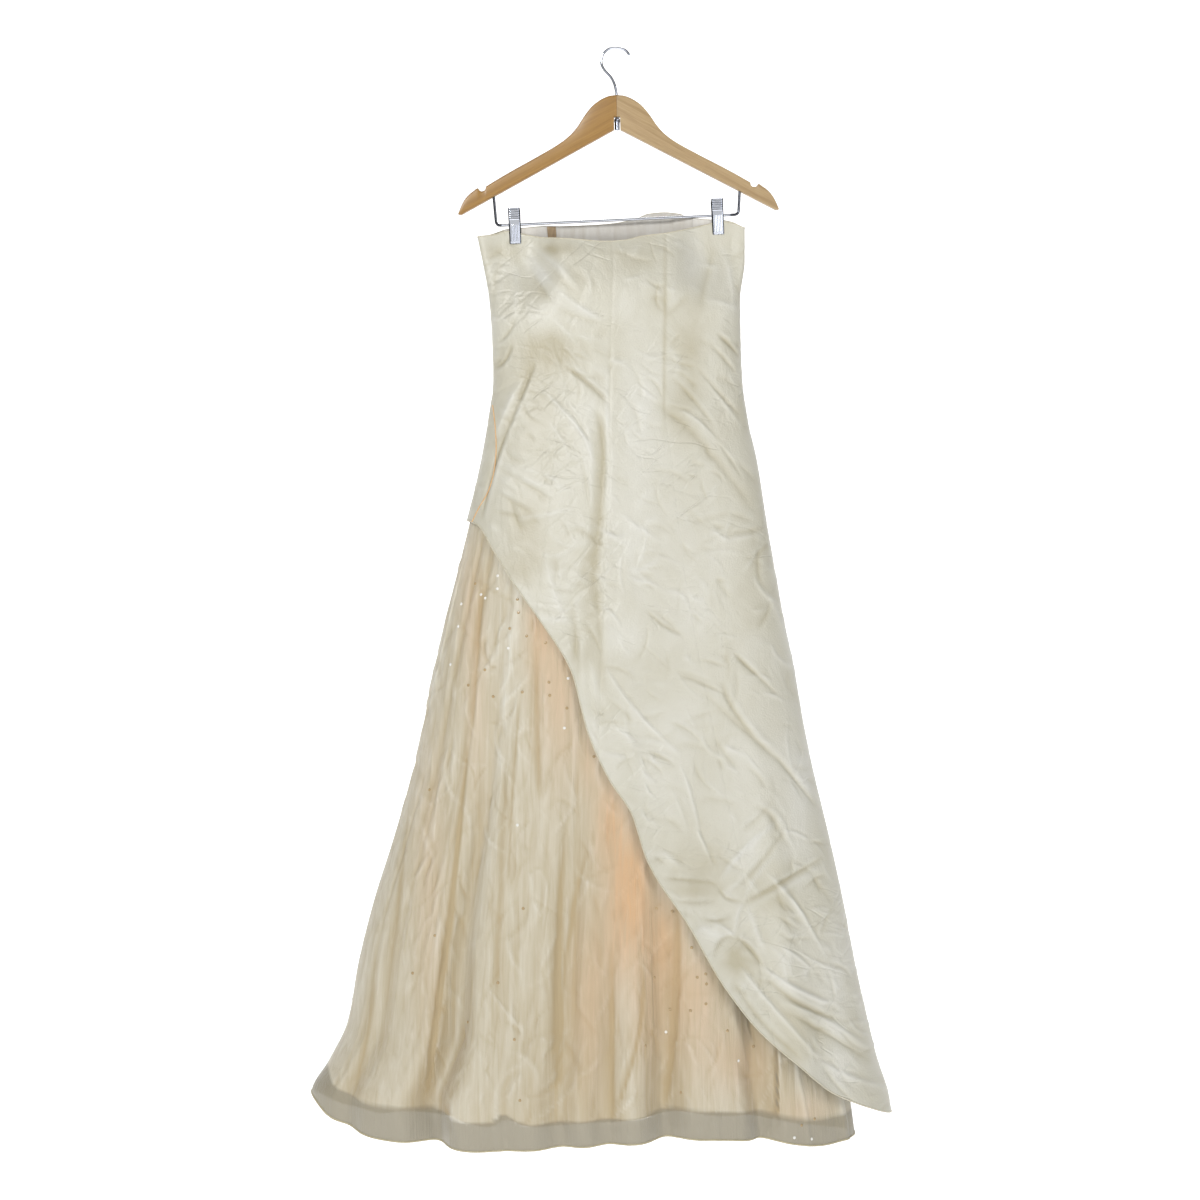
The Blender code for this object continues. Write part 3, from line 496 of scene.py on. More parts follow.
def nodeMaterial(name):
    made = bpy.data.materials.new(name)
    made.use_nodes = True
    tree = made.node_tree
    return made, tree, tree.nodes["Principled BSDF"]


def feed(tree, node, inputs):
    # each input gets its value, or a link where the value is another node's output
    for key, value in inputs.items():
        if isinstance(value, bpy.types.NodeSocket):
            tree.links.new(value, node.inputs[key])
        else:
            node.inputs[key].default_value = value


def addNode(tree, kind, inputs=None, **settings):
    node = tree.nodes.new("ShaderNode" + kind)
    for key, value in settings.items():
        setattr(node, key, value)
    feed(tree, node, inputs or {})
    return node


def mathNode(tree, operation, *values, **settings):
    return addNode(tree, "Math", dict(enumerate(values)), operation=operation, **settings).outputs[0]


def rangeNode(tree, value, fromMin, fromMax, toMin=0.0, toMax=1.0, kind="LINEAR"):
    ends = {"Value": value, "From Min": fromMin, "From Max": fromMax, "To Min": toMin, "To Max": toMax}
    return addNode(tree, "MapRange", ends, interpolation_type=kind).outputs["Result"]


def noiseNode(tree, place, scale, detail, roughness=0.5, distortion=0.0):
    look = {"Vector": place, "Scale": scale, "Detail": detail}
    look |= {"Roughness": roughness, "Distortion": distortion}
    return addNode(tree, "TexNoise", look).outputs["Fac"]


def objectPlace(tree):
    return addNode(tree, "TexCoord").outputs["Object"]


def painted(tree, name):
    return addNode(tree, "Attribute", attribute_name=name).outputs["Fac"]


def mixColour(tree, share, first, second):
    mixed = addNode(tree, "Mix", {"Factor": share, "A": first, "B": (*second, 1.0)}, data_type="RGBA")
    return mixed.outputs["Result"]


def rampNode(tree, source, places, colours):
    ramp = addNode(tree, "ValToRGB", {"Fac": source})
    while len(ramp.color_ramp.elements) < len(places):
        ramp.color_ramp.elements.new(0.5)
    for element, place, colour in zip(ramp.color_ramp.elements, places, colours):
        element.position = place
        element.color = (*colour, 1.0)
    return ramp.outputs["Color"]


def bumpNode(tree, height, strength, distance):
    look = {"Height": height, "Strength": strength, "Distance": distance}
    return addNode(tree, "Bump", look).outputs["Normal"]


def startGroup(name, inputs, outputs):
    group = bpy.data.node_groups.new(name, "ShaderNodeTree")
    for key, value in inputs.items():
        group.interface.new_socket(key, in_out="INPUT", socket_type="NodeSocketFloat").default_value = value
    for key in outputs:
        group.interface.new_socket(key, in_out="OUTPUT", socket_type="NodeSocketFloat")
    return group, group.nodes.new("NodeGroupInput").outputs, group.nodes.new("NodeGroupOutput")


def groupNode(tree, group, *values):
    # the group with its inputs filled in their order
    return addNode(tree, "Group", dict(enumerate(values)), node_tree=group).outputs


def stretched(tree, place, along, across):
    # the place times one scale in X and Y and another in Z
    scale = addNode(tree, "CombineXYZ", {"X": along, "Y": along, "Z": across}).outputs[0]
    return addNode(tree, "VectorMath", {0: place, 1: scale}, operation="MULTIPLY").outputs[0]


def turnedPlace(tree, place, slant):
    return addNode(tree, "VectorRotate", {"Vector": place, "Angle": slant}, rotation_type="Y_AXIS").outputs[0]


def foldedMiddle(tree, value):
    # how far a noise lies from its middle value, which makes creases of its hills
    return mathNode(tree, "ABSOLUTE", mathNode(tree, "SUBTRACT", value, 0.5))


def crinkleGroup():
    # Height is a stretched noise folded at its middle plus a little of a fine one, Mask the stretched noise
    sockets = {"Across": 40.0, "Down": 40.0, "Fine": 40.0}
    group, given, out = startGroup("clothCrinkle", sockets, ("Height", "Mask"))
    place = objectPlace(group)
    coarse = noiseNode(group, stretched(group, place, given["Across"], given["Down"]), 1.0, 4.0, 0.55, 0.6)
    fine = noiseNode(group, place, given["Fine"], 3.0, 0.6)
    height = mathNode(group, "MULTIPLY_ADD", fine, 0.12, foldedMiddle(group, coarse))
    feed(group, out, {"Height": height, "Mask": coarse})
    return group


def crumpleGroup():
    # sharp crumples: a noise stretched along a slant, kept near its middle value where a second noise lets it
    sockets = {"Slant": 0.0, "Along": 14.0, "Across": 50.0, "Line": 0.05}
    group, given, out = startGroup("sharpCrumple", sockets, ("Height",))
    place = objectPlace(group)
    level = turnedPlace(group, place, given["Slant"])
    noise = noiseNode(group, stretched(group, level, given["Along"], given["Across"]), 1.0, 2.0, 0.45, 0.5)
    line = rangeNode(group, foldedMiddle(group, noise), 0.0, given["Line"], 1.0, 0.0, "SMOOTHSTEP")
    allowed = rangeNode(group, noiseNode(group, place, 11.0, 2.0), 0.46, 0.62, kind="SMOOTHSTEP")
    feed(group, out, {"Height": mathNode(group, "MULTIPLY", line, allowed)})
    return group


clothCrinkle = crinkleGroup()
sharpCrumple = crumpleGroup()

# Colours run from deep to raised at the places of "tones": painted shade in the creases' troughs and painted
# highlight on their ridges. A crumple is its slant, its two scales, how wide its lines are and how deep.
satinLook = {
    "narrow": 0.70,
    "lower": 0.86,
    "colours": ((0.40, 0.365, 0.262), (0.505, 0.486, 0.402), (0.59, 0.58, 0.522)),
    "tones": (0.15, 0.47, 0.80),
    "crinkle": (15.0, 9.0, 420.0),
    "patches": 0.50,
    "crumples": ((0.75, 9.0, 30.0, 0.075, 0.20), (-0.30, 10.0, 34.0, 0.060, 0.14)),
    "creases": 0.85,
    "creaseHeight": 0.0044,
    "finish": {"Roughness": 0.40, "Specular IOR Level": 0.6, "Sheen Weight": 0.2, "Sheen Roughness": 0.45},
}


def satinMaterial(look):
    # colour runs from the yellow of a trough to the grey white of a ridge, by the painted relief and a soft
    # patchy noise: painted shade in the troughs, painted highlight on the ridges. The bump is the crinkle
    # less two sets of sharp crumples that cross each other.
    made, tree, shader = nodeMaterial("satin")
    crinkle = groupNode(tree, clothCrinkle, *look["crinkle"])
    shift = mathNode(tree, "MULTIPLY_ADD", crinkle["Mask"], look["patches"], -look["patches"] / 2)
    shadeTone = mathNode(tree, "ADD", painted(tree, "relief"), shift)
    height = crinkle["Height"]
    for *form, part in look["crumples"]:
        crumple = groupNode(tree, sharpCrumple, *form)
        height = mathNode(tree, "MULTIPLY_ADD", crumple["Height"], -part, height)
    feed(tree, shader, look["finish"])
    feed(tree, shader, {"Base Color": rampNode(tree, shadeTone, look["tones"], look["colours"]),
                        "Normal": bumpNode(tree, height, look["creases"], look["creaseHeight"])})
    return made


# Colours run from deep to raised at the places of "tones": golden painted shade in the folds, where the
# layers also stack, to painted highlight on the ridges. The band colour is painted shade for the unlined hem.
organzaLook = {
    "colours": ((0.445, 0.36, 0.208), (0.526, 0.475, 0.354), (0.625, 0.606, 0.53)),
    "tones": (0.10, 0.48, 0.85),
    "crinkle": (130.0, 5.0, 700.0),
    "patches": (0.55, -0.27),
    "peach": (0.60, 0.37, 0.188),
    "streaks": (1.3, 0.35),
    "band": (0.270, 0.240, 0.170),
    "opacity": (0.80, 0.95),
    "bump": (0.55, 0.004),
    "finish": {"Roughness": 0.5, "Sheen Weight": 0.3},
}


def organzaMaterial(look):
    # cream, golden in the folds and peach where the painted glow is, sheer with fine upright crinkles. The
    # golden folds are painted shade where the layers also stack, the pale ridges painted highlight, and the
    # unlined hem band is painted shade, dark and nearly opaque
    made, tree, shader = nodeMaterial("organza")
    crinkle = groupNode(tree, clothCrinkle, *look["crinkle"])
    shift = mathNode(tree, "MULTIPLY_ADD", crinkle["Mask"], *look["patches"])
    shadeTone = mathNode(tree, "ADD", painted(tree, "relief"), shift)
    streaky = mathNode(tree, "MULTIPLY_ADD", crinkle["Mask"], *look["streaks"])
    share = mathNode(tree, "MULTIPLY", painted(tree, "glow"), streaky, use_clamp=True)
    band = painted(tree, "band")
    colour = mixColour(tree, share, rampNode(tree, shadeTone, look["tones"], look["colours"]), look["peach"])
    opacity = rangeNode(tree, shadeTone, 0.3, 0.7, *look["opacity"])
    feed(tree, shader, look["finish"])
    feed(tree, shader, {"Base Color": mixColour(tree, band, colour, look["band"]),
                        "Alpha": mathNode(tree, "MAXIMUM", opacity, band),
                        "Normal": bumpNode(tree, crinkle["Height"], *look["bump"])})
    return made


# two colours, then how the crinkle is stretched across and down, how fine it is, its bump and the roughness
clothLook = {
    "lining": ((0.60, 0.38, 0.20), (0.68, 0.50, 0.32), 60.0, 6.0, 500.0, 0.4, 0.55),
    "facing": ((0.52, 0.485, 0.425), (0.62, 0.60, 0.56), 90.0, 14.0, 900.0, 0.5, 0.55),
    "tape": ((0.24, 0.165, 0.09), (0.37, 0.265, 0.15), 400.0, 60.0, 1200.0, 0.6, 0.55),
    "rolledHem": ((0.38, 0.33, 0.20), (0.48, 0.43, 0.29), 300.0, 300.0, 900.0, 0.5, 0.55),
    "satinEdge": ((0.47, 0.43, 0.31), (0.56, 0.53, 0.43), 200.0, 200.0, 900.0, 0.3, 0.4),
    "peachEdge": ((0.62, 0.36, 0.15), (0.68, 0.46, 0.25), 200.0, 200.0, 900.0, 0.3, 0.55),
}


def clothMaterial(name, low, high, across, down, fine, bump, roughness):
    # two colours mixed by a stretched noise, with its folded height as bump
    made, tree, shader = nodeMaterial(name)
    crinkle = groupNode(tree, clothCrinkle, across, down, fine)
    feed(tree, shader, {"Base Color": rampNode(tree, crinkle["Mask"], (0.3, 0.7), (low, high)),
                        "Roughness": roughness, "Sheen Weight": 0.15,
                        "Normal": bumpNode(tree, crinkle["Height"], bump, 0.002)})
    return made


woodLook = {
    "left": ((0.225, 0.112, 0.020), (0.285, 0.150, 0.028), (0.335, 0.186, 0.042)),
    "right": ((0.25, 0.155, 0.065), (0.365, 0.25, 0.12), (0.45, 0.33, 0.175)),
    "tones": (0.30, 0.52, 0.72),
    "slant": 28.2,
    "stretch": (7.0, 140.0, 190.0),
    "bump": (0.12, 0.0006),
    "finish": {"Roughness": 0.42, "Coat Weight": 0.35, "Coat Roughness": 0.25},
}


def woodMaterial(name, colours, slant):
    # fine lines along the arm: object coordinates turned to the arm's slant, then squeezed along it
    made, tree, shader = nodeMaterial(name)
    level = turnedPlace(tree, objectPlace(tree), math.radians(slant))
    place = addNode(tree, "Mapping", {"Vector": level, "Scale": woodLook["stretch"]}).outputs[0]
    grain = noiseNode(tree, place, 1.0, 5.0, 0.6, 0.4)
    fleck = noiseNode(tree, place, 9.0, 2.0)
    both = addNode(tree, "Mix", {"Factor": 0.3, "A": grain, "B": fleck}, data_type="FLOAT").outputs["Result"]
    feed(tree, shader, woodLook["finish"])
    feed(tree, shader, {"Base Color": rampNode(tree, both, woodLook["tones"], colours),
                        "Normal": bumpNode(tree, both, *woodLook["bump"])})
    return made


# places in metres for the painted reflection: how far out the bar is painted dark beneath, where its legs
# stand, and the foot's middle and half
chromeLook = {
    "smears": (60.0, 2.0),
    "roughness": (0.08, 0.14),
    "outer": (0.085, 0.125),
    "beneath": (-0.46, -0.66),
    "legs": (0.1575, 0.1605),
    "legsDark": 0.6,
    "foot": (-0.105, 0.0095),
    "footDark": 0.36,
    "tones": (0.12, 0.22, 0.45, 0.70),
    "colours": ((0.80, 0.83, 0.90), (0.52, 0.56, 0.66), (0.16, 0.17, 0.20), (0.035, 0.037, 0.045)),
}


def chromeMaterial(look):
    # polished, with faint smears in its roughness, and a painted reflection in its colour: dark where the
    # metal turns sideways, on the bar's two legs, on the hook's foot and, away from the middle, beneath,
    # where chrome would mirror the dark of a room, and pale bluish white elsewhere
    made, tree, shader = nodeMaterial("chrome")
    place = addNode(tree, "TexCoord").outputs
    facing = addNode(tree, "SeparateXYZ", {"Vector": place["Normal"]}).outputs
    where = addNode(tree, "SeparateXYZ", {"Vector": place["Object"]}).outputs
    reach = mathNode(tree, "ABSOLUTE", where["X"])
    outer = rangeNode(tree, reach, *look["outer"])
    beneath = rangeNode(tree, facing["Z"], *look["beneath"])
    foot = mathNode(tree, "COMPARE", where["Z"], *look["foot"])
    paintedReflection = mathNode(tree, "ABSOLUTE", facing["X"])
    for other in (mathNode(tree, "MULTIPLY", outer, beneath),
                  rangeNode(tree, reach, *look["legs"], 0.0, look["legsDark"]),
                  mathNode(tree, "MULTIPLY", foot, look["footDark"])):
        paintedReflection = mathNode(tree, "MAXIMUM", paintedReflection, other)
    smears = noiseNode(tree, place["Object"], *look["smears"])
    feed(tree, shader, {"Base Color": rampNode(tree, paintedReflection, look["tones"], look["colours"]), "Metallic": 1.0,
                        "Roughness": rangeNode(tree, smears, 0.0, 1.0, *look["roughness"])})
    return made


def sequinMaterial():
    # pale glass-like discs, some of them tarnished brown as painted
    made, tree, shader = nodeMaterial("sequins")
    colours = ((0.93, 0.92, 0.88), (0.49, 0.365, 0.195))
    feed(tree, shader, {"Base Color": rampNode(tree, painted(tree, "brown"), (0.3, 0.7), colours),
                        "Alpha": 0.75, "Roughness": 0.12, "Specular IOR Level": 0.9})
    return made


satinCloth = satinMaterial(satinLook)
organzaCloth = organzaMaterial(organzaLook)
cloth = {name: clothMaterial(name, *look) for name, look in clothLook.items()}
leftWood = woodMaterial("beechLeft", woodLook["left"], woodLook["slant"])
rightWood = woodMaterial("beechRight", woodLook["right"], -woodLook["slant"])
chrome = chromeMaterial(chromeLook)
sequinFilm = sequinMaterial()
print("materials ready")

# the satin's main creases in the photo's pixels: start, a point it passes, end, width, height in mm
bodiceCreases = (
    (515, 319, 508, 333, 497, 343, 3.0, -1.6),
    (512, 344, 505, 360, 494, 369, 3.0, -2.4),
    (525, 243, 552, 261, 580, 287, 6.0, 1.3),
    (527, 249, 541, 271, 557, 290, 6.0, 1.5),
    (553, 287, 578, 306, 607, 323, 5.0, 1.5),
    (530, 274, 543, 291, 557, 309, 7.0, -1.4),
    (553, 308, 580, 318, 607, 326, 6.0, -1.4),
    (549, 265, 563, 281, 580, 295, 4.0, -1.1),
    (482, 265, 487, 265, 493, 262, 2.6, -1.3),
    (560, 330, 585, 338, 606, 340, 5.0, 0.9),
    (564, 347, 572, 358, 581, 366, 2.5, -1.2),
    (556, 346, 566, 349, 573, 349, 2.0, 0.8),
    (572, 354, 582, 357, 591, 362, 2.2, -1.2),
    (591, 350, 600, 352, 607, 356, 2.2, -1.0),
    (565, 366, 589, 384, 609, 403, 3.6, -3.0),
    (564, 368, 584, 376, 605, 378, 3.0, -1.4),
    (540, 388, 566, 414, 594, 450, 3.6, 1.7),
    (562, 405, 580, 430, 593, 462, 3.0, 1.3),
    (523, 411, 534, 408, 546, 409, 2.4, -0.9),
    (594, 409, 603, 440, 603, 500, 7.0, -2.6),
    (603, 450, 600, 520, 590, 596, 8.0, -2.2),
    (586, 420, 592, 480, 584, 560, 5.0, 1.2),
    (574, 440, 586, 480, 592, 530, 3.0, -1.0),
    (535, 362, 519, 400, 505, 434, 3.4, -3.0),
    (508, 428, 494, 466, 481, 520, 3.6, -3.6),
    (522, 380, 506, 410, 494, 440, 5.0, 1.8),
    (497, 468, 528, 486, 553, 501, 4.5, -1.6),
    (497, 476, 540, 484, 577, 492, 4.0, 1.1),
    (512, 466, 545, 476, 566, 488, 5.0, 0.9),
    (495, 490, 515, 504, 532, 513, 4.5, -1.2),
    (517, 519, 545, 515, 573, 508, 3.4, 1.6),
    (491, 511, 506, 514, 521, 517, 3.0, -1.2),
    (666, 316, 678, 305, 689, 292, 5.0, -1.2),
    (671, 345, 676, 338, 681, 335, 2.6, -1.2),
    (668, 358, 682, 364, 695, 366, 2.8, -1.4),
    (670, 376, 695, 401, 716, 430, 3.2, -1.8),
    (668, 404, 680, 408, 690, 409, 2.6, -1.2),
    (680, 411, 706, 428, 740, 468, 3.4, 1.7),
    (700, 420, 722, 446, 744, 482, 4.0, -1.5),
    (717, 333, 730, 345, 740, 358, 3.2, -2.6),
    (711, 345, 724, 358, 736, 373, 3.0, -1.8),
    (695, 365, 716, 390, 742, 416, 4.0, -1.5),
    (699, 372, 720, 398, 744, 430, 3.6, 1.4),
    (686, 474, 694, 476, 701, 475, 2.2, -1.2),
    (701, 478, 703, 490, 709, 501, 2.2, -1.3),
    (709, 472, 718, 474, 724, 483, 2.2, -1.2),
    (646, 378, 656, 384, 662, 398, 2.8, -1.6),
    (636, 383, 646, 392, 658, 401, 2.4, 1.1),
    (640, 362, 652, 372, 662, 374, 2.4, -0.9),
    (632, 431, 640, 438, 647, 439, 2.4, -1.0),
    (638, 496, 650, 502, 660, 503, 2.4, -1.0),
    (648, 279, 656, 286, 668, 284, 3.4, -1.1),
    (660, 283, 656, 300, 664, 312, 3.0, -1.3),
    (651, 245, 666, 249, 676, 258, 3.0, -1.1),
    (696, 262, 708, 266, 722, 265, 3.0, 0.8),
    (508, 252, 496, 276, 492, 318, 6.0, -1.1),
    (514, 252, 516, 290, 512, 322, 7.0, 1.0),
    (518, 252, 540, 278, 558, 314, 6.0, 1.0),
    (716, 246, 706, 280, 700, 316, 6.0, -1.2),
    (722, 246, 731, 280, 734, 318, 6.0, 1.0),
    (484, 262, 492, 256, 503, 250, 4.0, -1.0),
)
overskirtCreases = (
    (646, 609, 662, 624, 682, 634, 2.8, -2.2),
    (689, 614, 696, 617, 702, 624, 3.0, -1.3),
    (636, 556, 652, 553, 669, 556, 2.4, -1.1),
    (638, 566, 652, 568, 666, 566, 2.4, -1.0),
    (641, 586, 648, 585, 655, 590, 2.2, -1.3),
    (582, 627, 592, 634, 600, 652, 3.2, -1.7),
    (603, 668, 622, 670, 639, 683, 2.6, -1.3),
    (606, 667, 634, 709, 683, 757, 3.6, 2.0),
    (593, 713, 599, 713, 605, 719, 2.6, -1.5),
    (594, 725, 610, 722, 630, 726, 3.0, -1.2),
    (669, 723, 684, 728, 700, 740, 2.8, -2.0),
    (679, 675, 704, 684, 731, 698, 3.0, -2.2),
    (697, 660, 712, 662, 728, 668, 2.6, -1.5),
    (733, 652, 752, 670, 777, 694, 3.0, -2.2),
    (722, 680, 738, 716, 778, 760, 4.6, -2.8),
    (774, 754, 796, 780, 817, 808, 4.2, -2.8),
    (764, 586, 786, 640, 799, 704, 5.0, 2.0),
    (646, 752, 660, 756, 677, 767, 2.6, -2.2),
    (636, 757, 650, 762, 664, 775, 2.4, -1.7),
    (679, 762, 692, 800, 700, 842, 3.6, 1.6),
    (617, 770, 622, 763, 634, 757, 3.0, -1.5),
    (743, 833, 756, 820, 775, 800, 3.0, -1.8),
    (720, 882, 742, 852, 784, 816, 3.4, 2.8),
    (731, 892, 756, 868, 790, 824, 3.2, -2.2),
    (661, 879, 688, 880, 718, 884, 2.6, -2.6),
    (671, 900, 694, 903, 717, 901, 2.6, -2.4),
    (676, 911, 686, 914, 694, 914, 2.4, -1.2),
    (720, 888, 727, 898, 745, 902, 2.8, -2.6),
    (745, 901, 738, 914, 734, 937, 3.0, 2.2),
    (744, 903, 782, 882, 824, 856, 3.2, -3.0),
    (746, 908, 784, 888, 828, 862, 4.4, 1.8),
    (743, 901, 756, 876, 779, 849, 2.8, 2.2),
    (702, 918, 716, 921, 732, 916, 2.6, -3.0),
    (693, 937, 700, 930, 712, 925, 3.0, 2.4),
    (711, 924, 724, 928, 735, 937, 3.0, 2.2),
    (713, 960, 722, 940, 736, 938, 3.0, -3.2),
    (735, 938, 750, 948, 762, 967, 3.4, -3.2),
    (760, 965, 798, 990, 846, 1010, 4.2, 3.0),
    (764, 974, 800, 1004, 850, 1022, 5.0, -2.8),
    (740, 967, 770, 1004, 824, 1064, 4.6, 2.6),
    (820, 1060, 848, 1076, 876, 1084, 4.2, 1.8),
    (733, 978, 762, 1022, 806, 1062, 5.0, -2.0),
    (778, 1001, 822, 1018, 868, 1048, 4.0, 2.2),
    (786, 1012, 828, 1034, 872, 1062, 5.0, -2.2),
    (778, 945, 796, 956, 814, 972, 3.2, 1.8),
    (794, 949, 820, 964, 846, 972, 3.2, 1.6),
    (783, 885, 804, 918, 828, 959, 3.2, 2.0),
    (766, 872, 786, 894, 810, 923, 3.0, 1.8),
    (747, 905, 756, 930, 766, 957, 5.0, 1.8),
    (778, 943, 796, 939, 814, 938, 2.6, -1.5),
    (821, 936, 826, 920, 834, 905, 2.8, -1.8),
    (803, 889, 814, 880, 826, 873, 2.8, -1.5),
    (696, 829, 704, 845, 712, 866, 3.2, 1.8),
    (656, 858, 661, 861, 667, 865, 2.2, -1.4),
    (743, 831, 748, 825, 756, 819, 2.6, -1.4),
    (823, 1066, 836, 1084, 855, 1104, 4.0, -1.8),
    (650, 400, 700, 440, 760, 520, 8.0, -1.6),
    (700, 690, 740, 726, 790, 770, 6.0, -1.4),
    (650, 610, 668, 622, 685, 640, 5.0, -1.2),
    (570, 590, 576, 640, 578, 690, 5.0, -1.5),
    (545, 545, 552, 585, 568, 625, 7.0, 1.2),
    (594, 560, 599, 620, 603, 690, 8.0, -1.5),
)
# broad patches of painted shade and highlight on the satin, with a few thin seam lines: pixel, radius
# across and down, how much paler (painted highlight) or, below 0, yellower (painted shade)
satinShadingPatches = (
    (556, 249, 19, 6, -0.22),
    (545, 272, 9, 13, 0.22),
    (562, 270, 10, 10, 0.14),
    (543, 294, 9, 10, -0.14),
    (497, 251, 11, 7, -0.26),
    (515, 258, 8, 10, -0.18),
    (572, 276, 15, 22, -0.16),
    (548, 272, 16, 18, -0.12),
    (642, 260, 22, 16, -0.16),
    (656, 300, 12, 14, -0.18),
    (695, 308, 22, 18, -0.16),
    (529, 292, 14, 20, -0.10),
    (508, 262, 12, 18, 0.12),
    (588, 311, 22, 14, 0.06),
    (600, 290, 24, 30, -0.10),
    (540, 400, 30, 34, -0.16),
    (800, 1044, 22, 26, -0.22),
    (692, 891, 24, 7, -0.20),
    (752, 848, 9, 20, 0.20),
    (741, 868, 8, 11, 0.12),
    (734, 958, 8, 20, -0.14),
    (712, 934, 9, 7, 0.16),
    (792, 868, 20, 9, -0.14),
    (545, 455, 22, 20, -0.10),
    (628, 306, 18, 30, 0.16),
    (692, 264, 13, 16, 0.10),
    (552, 356, 20, 22, -0.28),
    (545, 345, 26, 16, -0.30),
    (530, 560, 22, 34, -0.26),
    (524, 520, 18, 18, -0.18),
    (540, 262, 10, 30, 0.10),
    (692, 258, 10, 34, 0.10),
    (665, 300, 2.2, 60, -0.22),
    (664, 380, 2.2, 40, -0.22),
    (607, 430, 2.0, 60, 0.20),
    (616, 380, 9, 60, -0.10),
    (690, 344, 16, 22, -0.22),
    (680, 420, 16, 24, -0.22),
    (720, 560, 26, 34, 0.10),
    (838, 1000, 12, 90, 0.18),
    (800, 820, 14, 90, 0.16),
    (588, 412, 20, 20, 0.20),
    (584, 450, 12, 20, 0.14),
    (602, 430, 7, 40, -0.18),
    (595, 540, 9, 60, -0.14),
    (640, 430, 26, 70, 0.18),
    (688, 394, 16, 18, -0.18),
    (528, 372, 10, 22, -0.18),
    (735, 410, 24, 36, -0.08),
    (540, 590, 34, 40, 0.12),
    (516, 572, 14, 12, -0.22),
    (590, 610, 12, 60, -0.14),
    (636, 560, 30, 54, 0.16),
    (630, 640, 26, 20, 0.20),
    (745, 540, 26, 60, -0.04),
    (690, 600, 26, 40, 0.10),
    (700, 868, 30, 30, -0.20),
    (780, 896, 26, 22, -0.22),
    (752, 770, 24, 34, 0.10),
    (660, 800, 24, 34, 0.12),
    (800, 780, 20, 60, 0.10),
    (740, 960, 18, 16, -0.24),
    (830, 990, 24, 22, 0.06),
    (842, 1070, 30, 18, 0.10),
    (800, 1010, 26, 18, -0.16),
)
fineLook = (
    dict(count=170, area=(470, 240, 770, 560), lengths=(10, 44), widths=(1.6, 4.2), heights=(0.25, 0.9)),
    dict(count=560, area=(550, 520, 900, 1120), lengths=(10, 50), widths=(1.5, 4.0), heights=(0.3, 1.25)),
)
fineTurn = {"slant": 38, "spread": 34}
# where the cloth below the left clip is smooth: pixel, radius across and down
smoothPlace = (516, 284, 42, 38)


def asRows(creases):
    # the table as an array with heights in metres, narrowed and lowered by the shares given
    rows = np.array(creases, float)
    rows[:, 6] *= satinLook["narrow"]
    rows[:, 7] *= 0.001 * satinLook["lower"]
    return rows


def fineRows(seed):
    # the strewn creases, less those whose middle lies in the smooth place
    parts = [fineCreases(seed + number, **fineTurn, **look) for number, look in enumerate(fineLook)]
    rows = np.concatenate(parts)
    rows[:, 7] *= 0.001
    x, y, across, down = smoothPlace
    return rows[np.hypot((rows[:, 2] - x) / across, (rows[:, 3] - y) / down) > 1]


creases = {
    "front": np.concatenate([asRows(bodiceCreases), asRows(overskirtCreases), fineRows(11)]),
    "back": np.concatenate([asRows(bodiceCreases[::2]), asRows(overskirtCreases[::2]), fineRows(57)]),
}


def seamAngle(side, seam, drop):
    turn = -1.0 if side == "front" else 1.0
    if seam == "leftSide":
        return turn * math.pi + 0.0 * drop
    if seam == "rightSide":
        return 0.0 * drop
    return turn * np.arccos(readCurve(satinShape["seamDrop"], satinShape[side + seam], drop))


def satinGrid(side, first, last):
    # angles and drops from the top edge to the slanted hem, between two seams. Each row's drop is found in
    # a few rounds, because the seams' angles and the hem's drop depend on each other.
    highest, lowest = satinShape["span"]
    middle = float(np.mean(satinShape[side + "Top"]))
    columns = 60
    for _ in range(2):
        across = np.linspace(0, 1, columns)
        lowEnd, highEnd = float(seamAngle(side, first, middle)), float(seamAngle(side, last, middle))
        rows = 2 + int((lowest - highest) / satinShape["step"])
        drop = np.tile(satinTop(side, lowEnd + (highEnd - lowEnd) * across), (rows, 1))
        down = np.linspace(0, 1, rows)[:, None]
        for _ in range(4):
            low = seamAngle(side, first, drop)
            angle = low + (seamAngle(side, last, drop) - low) * across
            topDrop = satinTop(side, angle[0])
            drop = topDrop + down * (satinHem(angle[-1]) - topDrop)
        width, length, _ = sheetSizes(satinBase(angle, drop))
        rows = int(length / satinShape["step"])
        columns = int(width / satinShape["step"])
    keep = np.linspace(0, len(drop) - 1, rows)
    low = np.floor(keep).astype(int).clip(0, len(drop) - 2)
    part = (keep - low)[:, None]
    angle = angle[low] * (1 - part) + angle[low + 1] * part
    drop = drop[low] * (1 - part) + drop[low + 1] * part
    return angle, drop


# how far creases sink or rise in metres, from where the organza lies close behind, how they calm towards
# the top edge and the side seams, and how much height is worth one step of painted shade and highlight
satinRelief = {
    "sink": 0.0045,
    "rise": 0.0065,
    "skirtFrom": 0.49,
    "skirtRoom": 0.0010,
    "topCalm": 0.012,
    "topLeast": 0.15,
    "sideCalm": 0.06,
    "seamShare": 0.4,
    "shadeTone": 0.007,
}


